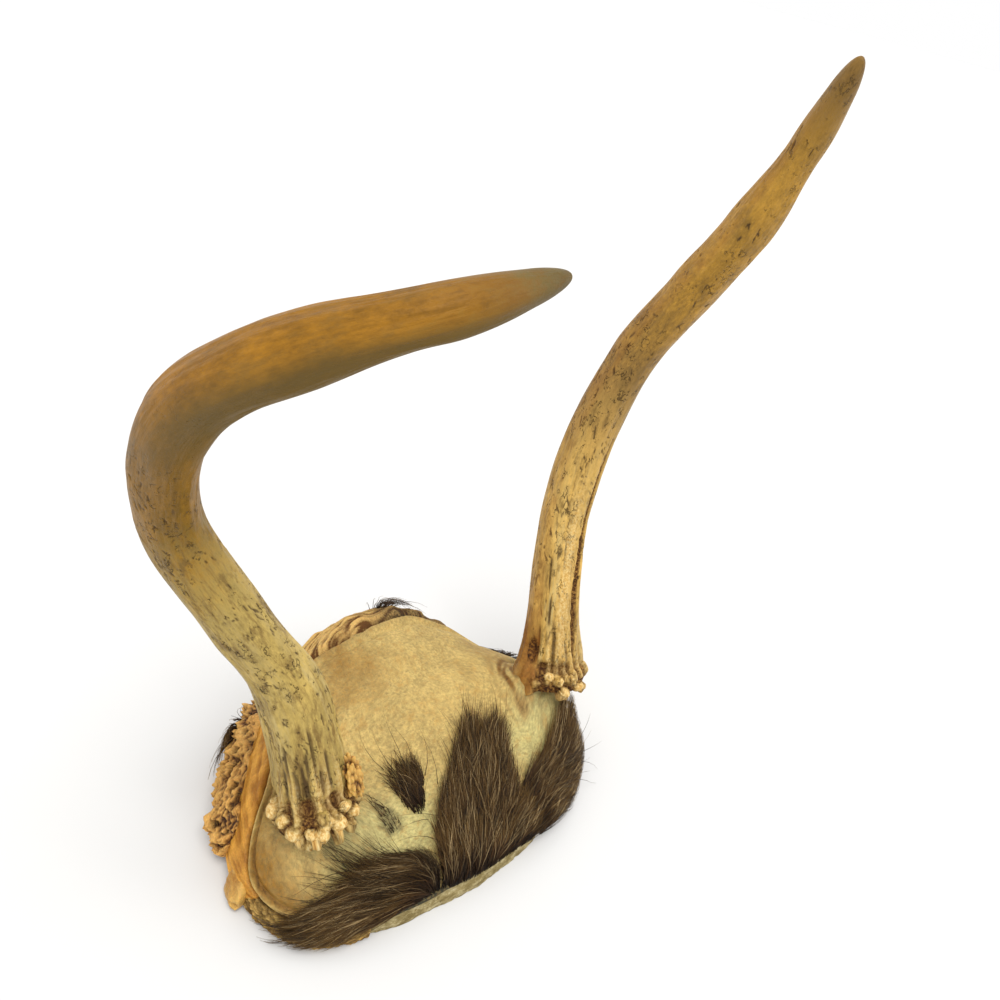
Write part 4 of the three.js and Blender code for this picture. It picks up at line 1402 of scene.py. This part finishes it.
def hair_mesh(strands):
    """Bends a copy of the blank along the path of each hair."""
    blank = strand_blank()
    per_strand = len(blank.vertices)
    bm = bmesh.new()
    for _ in strands:
        bm.from_mesh(blank)
    bpy.data.meshes.remove(blank)
    tone = bm.verts.layers.float.new("tone")
    reach = bm.verts.layers.float.new("reach")
    silver = bm.verts.layers.float.new("silver")
    bm.verts.ensure_lookup_table()
    for k, (path, thickness, shade) in enumerate(strands):
        silvery = k % SILVER_EVERY == 0
        width = thickness * (0.8 if silvery else 1.0)
        frames = []
        for i, point in enumerate(path):
            along = path[min(i + 1, len(path) - 1)] - path[max(i - 1, 0)]
            side = along.cross(Vector((0.31, 0.17, 0.93))).normalized()
            frames.append((point, side, along.cross(side).normalized()))
        for j in range(k * per_strand, (k + 1) * per_strand):
            vert = bm.verts[j]
            ring = min(int(round(vert.co.z)), len(path) - 1)
            point, side, up = frames[ring]
            vert[tone] = shade
            vert[silver] = 1.0 if silvery else 0.0
            vert[reach] = ring / (len(path) - 1)
            vert.co = point - side * (vert.co.x * width) + up * (vert.co.y * width)
    return bm


def hair_surface(settings):
    base = tuple(settings.hair_colour)
    root = tuple(0.55 * c for c in base)

    def build(tree):
        reach, tone = mark(tree, "reach"), mark(tree, "tone")
        colour = stops(tree, reach, (0.0, root), (0.45, base), (1.0, HAIR_TIP))
        silver = times(tree, mark(tree, "silver"), span(tree, reach, 0.15, 0.7))
        colour = stained(tree, colour, silver, 0.75, HAIR_SILVER)
        colour = tinted(tree, colour, span(tree, tone, 0.0, 1.0, 0.2, 1.75))
        return colour, span(tree, tone, 0.0, 1.0, 0.35, 0.6), None
    return surface("Deer hair", build)


# ------------------------------------------------------------------ stage, in metres

FLOOR_RADIUS = 30.0
FLOOR_GREY = 0.68
STAGE_MIDDLE = (0.0, 0.01, 0.06)
LAMPS = {
    "Key": {"place": (-0.15, -0.20, 0.75), "colour": (1.0, 0.98, 0.94)},
    "Fill": {"place": (0.60, -0.35, 0.45), "colour": (1.0, 0.97, 0.92)},
}
CAMERA_PLACE = (-0.1399, -0.1039, 0.2044)
CAMERA_TURN = (57.57, -12.95, -44.77)       # degrees


# ------------------------------------------------------------------ settings

class AntlerSettings(PropertyGroup):
    sides: IntProperty(name="Sides", description="Faces round the shaft", default=150, min=12, max=200)
    rings: IntProperty(name="Rings", description="Faces along the antler", default=620, min=40, max=660)
    ridge_depth: FloatProperty(
        name="Ridge depth", description="Height of the ridges in mm",
        default=0.7, min=0, max=2)
    scratches: IntProperty(name="Scratches", description="Number of short dark scratches", default=520, min=0)
    groove_reach: FloatProperty(
        name="Groove reach", description="How far the dark grooves run up from the burr, in mm",
        default=11.0, min=1, max=40)
    right_low: FloatVectorProperty(
        name="Right antler, low", description="Colour near the burr",
        subtype="COLOR_GAMMA", size=3, default=(0.69, 0.59, 0.32))
    right_high: FloatVectorProperty(
        name="Right antler, high", description="Colour of the upper half",
        subtype="COLOR_GAMMA", size=3, default=(0.575, 0.395, 0.08))
    left_low: FloatVectorProperty(
        name="Left antler, low", description="Colour near the burr",
        subtype="COLOR_GAMMA", size=3, default=(0.77, 0.62, 0.32))
    left_high: FloatVectorProperty(
        name="Left antler, high", description="Colour of the upper half",
        subtype="COLOR_GAMMA", size=3, default=(0.73, 0.55, 0.21))


class PlateSettings(PropertyGroup):
    bone_sides: IntProperty(
        name="Bone sides", description="Faces round the bone plate",
        default=300, min=24, max=400)
    bone_rings: IntProperty(
        name="Bone rings", description="Faces from its top to its underside",
        default=180, min=24, max=300)
    hide_sides: IntProperty(
        name="Hide sides", description="Faces round the hide",
        default=400, min=24, max=480)
    hide_rings: IntProperty(
        name="Hide rings", description="Faces from its top to its underside",
        default=230, min=24, max=300)
    bone_colour: FloatVectorProperty(
        name="Bone", description="Colour of the bare bone",
        subtype="COLOR_GAMMA", size=3, default=BONE_COLOUR)
    cream: FloatVectorProperty(
        name="Hide, cream", description="Colour towards the nose",
        subtype="COLOR_GAMMA", size=3, default=(0.72, 0.67, 0.44))
    middle: FloatVectorProperty(
        name="Hide, middle", description="Colour at the crown",
        subtype="COLOR_GAMMA", size=3, default=(0.72, 0.62, 0.38))
    tan: FloatVectorProperty(
        name="Hide, tan", description="Colour at the folded edge",
        subtype="COLOR_GAMMA", size=3, default=(0.53, 0.38, 0.14))


class HairSettings(PropertyGroup):
    amount: FloatProperty(
        name="Amount", description="Share of the full number of hairs",
        default=1.0, min=0.05, max=1.0)
    seed: IntProperty(name="Seed", description="Start of the random draws", default=11, min=0)
    hair_colour: FloatVectorProperty(
        name="Hair", description="Colour of the hair at half its length",
        subtype="COLOR_GAMMA", size=3, default=HAIR_COLOUR)


class StageSettings(PropertyGroup):
    key: FloatProperty(name="Key light", description="Strength of the main lamp", default=1.7, min=0)
    fill: FloatProperty(name="Fill light", description="Strength of the second lamp", default=0.5, min=0)
    key_softness: FloatProperty(
        name="Softness", description="Angle that a lamp covers",
        subtype="ANGLE", default=math.radians(35), min=0, max=3)
    surroundings: FloatProperty(
        name="Surroundings", description="Strength of the pale room",
        default=1.0, min=0)
    lens: FloatProperty(name="Lens", description="Focal length in mm", default=32.4, min=10, max=200)


# ------------------------------------------------------------------ operators

class ANTLERS_OT_bone(Operator):
    """Builds the sawn bone plate with the hollow of the braincase"""
    bl_idname = "deer_antlers.bone"
    bl_label = "Bone Plate"

    def execute(self, context):
        settings = context.scene.antler_plate
        finished(bone_mesh(settings), "bone_plate", bone_surface(settings), "bone", "skull_plate")
        return {"FINISHED"}


class ANTLERS_OT_antlers(Operator):
    """Builds both antlers with their burrs, ridges and pits"""
    bl_idname = "deer_antlers.antlers"
    bl_label = "Antlers"

    def execute(self, context):
        s = context.scene.antler_antlers
        looks = {"right": (s.right_low, s.right_high), "left": (s.left_low, s.left_high)}
        for side, (low, high) in looks.items():
            material = antler_surface(side, tuple(low), tuple(high))
            finished(antler_mesh(side, s), f"{side}_antler", material, "antler", f"antler_{side}")
        return {"FINISHED"}


class ANTLERS_OT_hide(Operator):
    """Builds the dried hide with its folded edge and the collars round the burrs"""
    bl_idname = "deer_antlers.hide"
    bl_label = "Dried Hide"

    def execute(self, context):
        settings = context.scene.antler_plate
        finished(hide_mesh(settings), "hide_skin", hide_surface(settings), "dried_hide", "hide")
        return {"FINISHED"}


class ANTLERS_OT_flesh(Operator):
    """Builds the dried muscle, the crusted flesh and the lumps of gristle"""
    bl_idname = "deer_antlers.flesh"
    bl_label = "Dried Flesh"

    def execute(self, context):
        crust = flesh_surface("Crusted flesh", 0.55, 0.1)
        nape = flesh_surface("Nape tissue", 0.65, 0.0)
        muscle = flesh_surface("Dried muscle", 0.5, 0.1)
        brow = flesh_surface("Brow crust", 0.7, 0.0)
        gristle = flesh_surface("Gristle", 0.4, 0.2)
        pieces = {
            "nape_flesh": (nape, "dried_flesh", "nape_tissue"),
            "temple_muscle": (muscle, "dried_flesh", "temporal_muscle_right"),
            "temple_crust": (crust, "dried_flesh", "flesh_crust_right"),
            "brow_crust": (brow, "dried_flesh", "flesh_crust_brow"),
            "gristle_lump": (gristle, "gristle", "gristle_knob"),
        }
        for name, (material, slot, cad_node) in pieces.items():
            shape, sides, rings = FLESH_SHAPES[name]
            bm = pillow(sides, rings, FLESH[name], shape, ("dirt_and_shade", "dark"))
            finished(bm, name, material, slot, cad_node)
        finished(burr_gristle_mesh(), "burr_gristle_lump", gristle, "gristle", "burr_gristle")
        return {"FINISHED"}


class ANTLERS_OT_hair(Operator):
    """Builds the tufts of hair, each hair a thin closed strand"""
    bl_idname = "deer_antlers.hair"
    bl_label = "Hair"

    def execute(self, context):
        settings = context.scene.antler_hair
        rng = random.Random(settings.seed)
        material = hair_surface(settings)
        cad_nodes = {
            "forehead": "tuft_forehead", "left_brow": "tuft_brow_left", "right_brow": "tuft_brow_right",
            "spot_centre": "tuft_spot_centre", "spot_burr": "tuft_spot_burr",
            "nape_hair": "tuft_nape", "ear_hair": "tuft_ear", "left_temple_hair": "tuft_temple_left",
        }
        for name, patch in HAIR_PATCHES.items():
            count = int(patch["count"] * settings.amount * FINENESS)
            strands = patch_strands(patch, rng, count) + stray_strands(STRAY_HAIRS.get(name, ()), rng)
            finished(hair_mesh(strands), f"{name}_hair", material, "hair", cad_nodes[name])
        for name, wisp in WISPS.items():
            finished(hair_mesh(wisp_strands(wisp, rng)), name, material, "hair", cad_nodes[name])
        return {"FINISHED"}


def lamp(name, softness, power):
    """A far lamp that shines on the middle of the stage."""
    data = bpy.data.lights.new(name, "SUN")
    data.angle = softness
    data.energy = power
    data.color = LAMPS[name]["colour"]
    made = bpy.data.objects.new(name, data)
    made.location = LAMPS[name]["place"]
    made.rotation_euler = (made.location - Vector(STAGE_MIDDLE)).to_track_quat("Z", "Y").to_euler()
    bpy.context.scene.collection.objects.link(made)


class ANTLERS_OT_stage(Operator):
    """Builds the floor, the lamps, the pale surroundings and the camera"""
    bl_idname = "deer_antlers.stage"
    bl_label = "Stage"

    def execute(self, context):
        settings = context.scene.antler_stage
        scene = context.scene
        bm = bmesh.new()
        bmesh.ops.create_circle(bm, cap_ends=True, segments=64, radius=FLOOR_RADIUS)
        mesh = bpy.data.meshes.new("floor")
        bm.to_mesh(mesh)
        bm.free()
        paint = bpy.data.materials.new("Pale floor")
        paint.use_nodes = True
        shader = paint.node_tree.nodes["Principled BSDF"]
        shader.inputs["Base Color"].default_value = (FLOOR_GREY, FLOOR_GREY, FLOOR_GREY, 1)
        shader.inputs["Roughness"].default_value = 0.9
        mesh.materials.append(paint)
        floor = bpy.data.objects.new("floor", mesh)
        scene.collection.objects.link(floor)

        world = bpy.data.worlds.new("Pale room")
        world.use_nodes = True
        background = world.node_tree.nodes["Background"]
        background.inputs["Color"].default_value = (1.0, 1.0, 1.0, 1)
        background.inputs["Strength"].default_value = settings.surroundings
        scene.world = world
        scene.view_settings.view_transform = "Standard"

        lamp("Key", settings.key_softness, settings.key)
        lamp("Fill", settings.key_softness, settings.fill)

        camera_data = bpy.data.cameras.new("Camera")
        camera_data.sensor_width = 36.0
        camera_data.lens = settings.lens
        camera_data.clip_start = 0.01
        camera = bpy.data.objects.new("Camera", camera_data)
        camera.location = CAMERA_PLACE
        camera.rotation_euler = [math.radians(a) for a in CAMERA_TURN]
        scene.collection.objects.link(camera)
        scene.camera = camera
        return {"FINISHED"}


class ANTLERS_PT_panel(Panel):
    """Lists the pieces and their settings"""
    bl_label = "Deer Antlers"
    bl_idname = "ANTLERS_PT_panel"
    bl_space_type = "VIEW_3D"
    bl_region_type = "UI"
    bl_category = "Antlers"

    def draw(self, context):
        layout = self.layout
        for operator in OPERATORS:
            layout.operator(operator.bl_idname)
        for group in SETTINGS:
            box = layout.box()
            settings = getattr(context.scene, group)
            for key in settings.bl_rna.properties.keys():
                if key not in {"rna_type", "name"}:
                    box.prop(settings, key)


SETTINGS = {
    "antler_plate": PlateSettings,
    "antler_antlers": AntlerSettings,
    "antler_hair": HairSettings,
    "antler_stage": StageSettings,
}
OPERATORS = (
    ANTLERS_OT_stage, ANTLERS_OT_bone, ANTLERS_OT_antlers, ANTLERS_OT_hide, ANTLERS_OT_flesh, ANTLERS_OT_hair,
)


def register():
    for cls in (*SETTINGS.values(), *OPERATORS, ANTLERS_PT_panel):
        bpy.utils.register_class(cls)
    for name, cls in SETTINGS.items():
        setattr(bpy.types.Scene, name, PointerProperty(type=cls))


def unregister():
    for name in SETTINGS:
        delattr(bpy.types.Scene, name)
    for cls in reversed((*SETTINGS.values(), *OPERATORS, ANTLERS_PT_panel)):
        bpy.utils.unregister_class(cls)


def main():
    register()
    bpy.ops.deer_antlers.stage()
    bpy.ops.deer_antlers.bone()
    bpy.ops.deer_antlers.antlers()
    bpy.ops.deer_antlers.hide()
    bpy.ops.deer_antlers.flesh()
    bpy.ops.deer_antlers.hair()


if __name__ == "__main__":
    main()
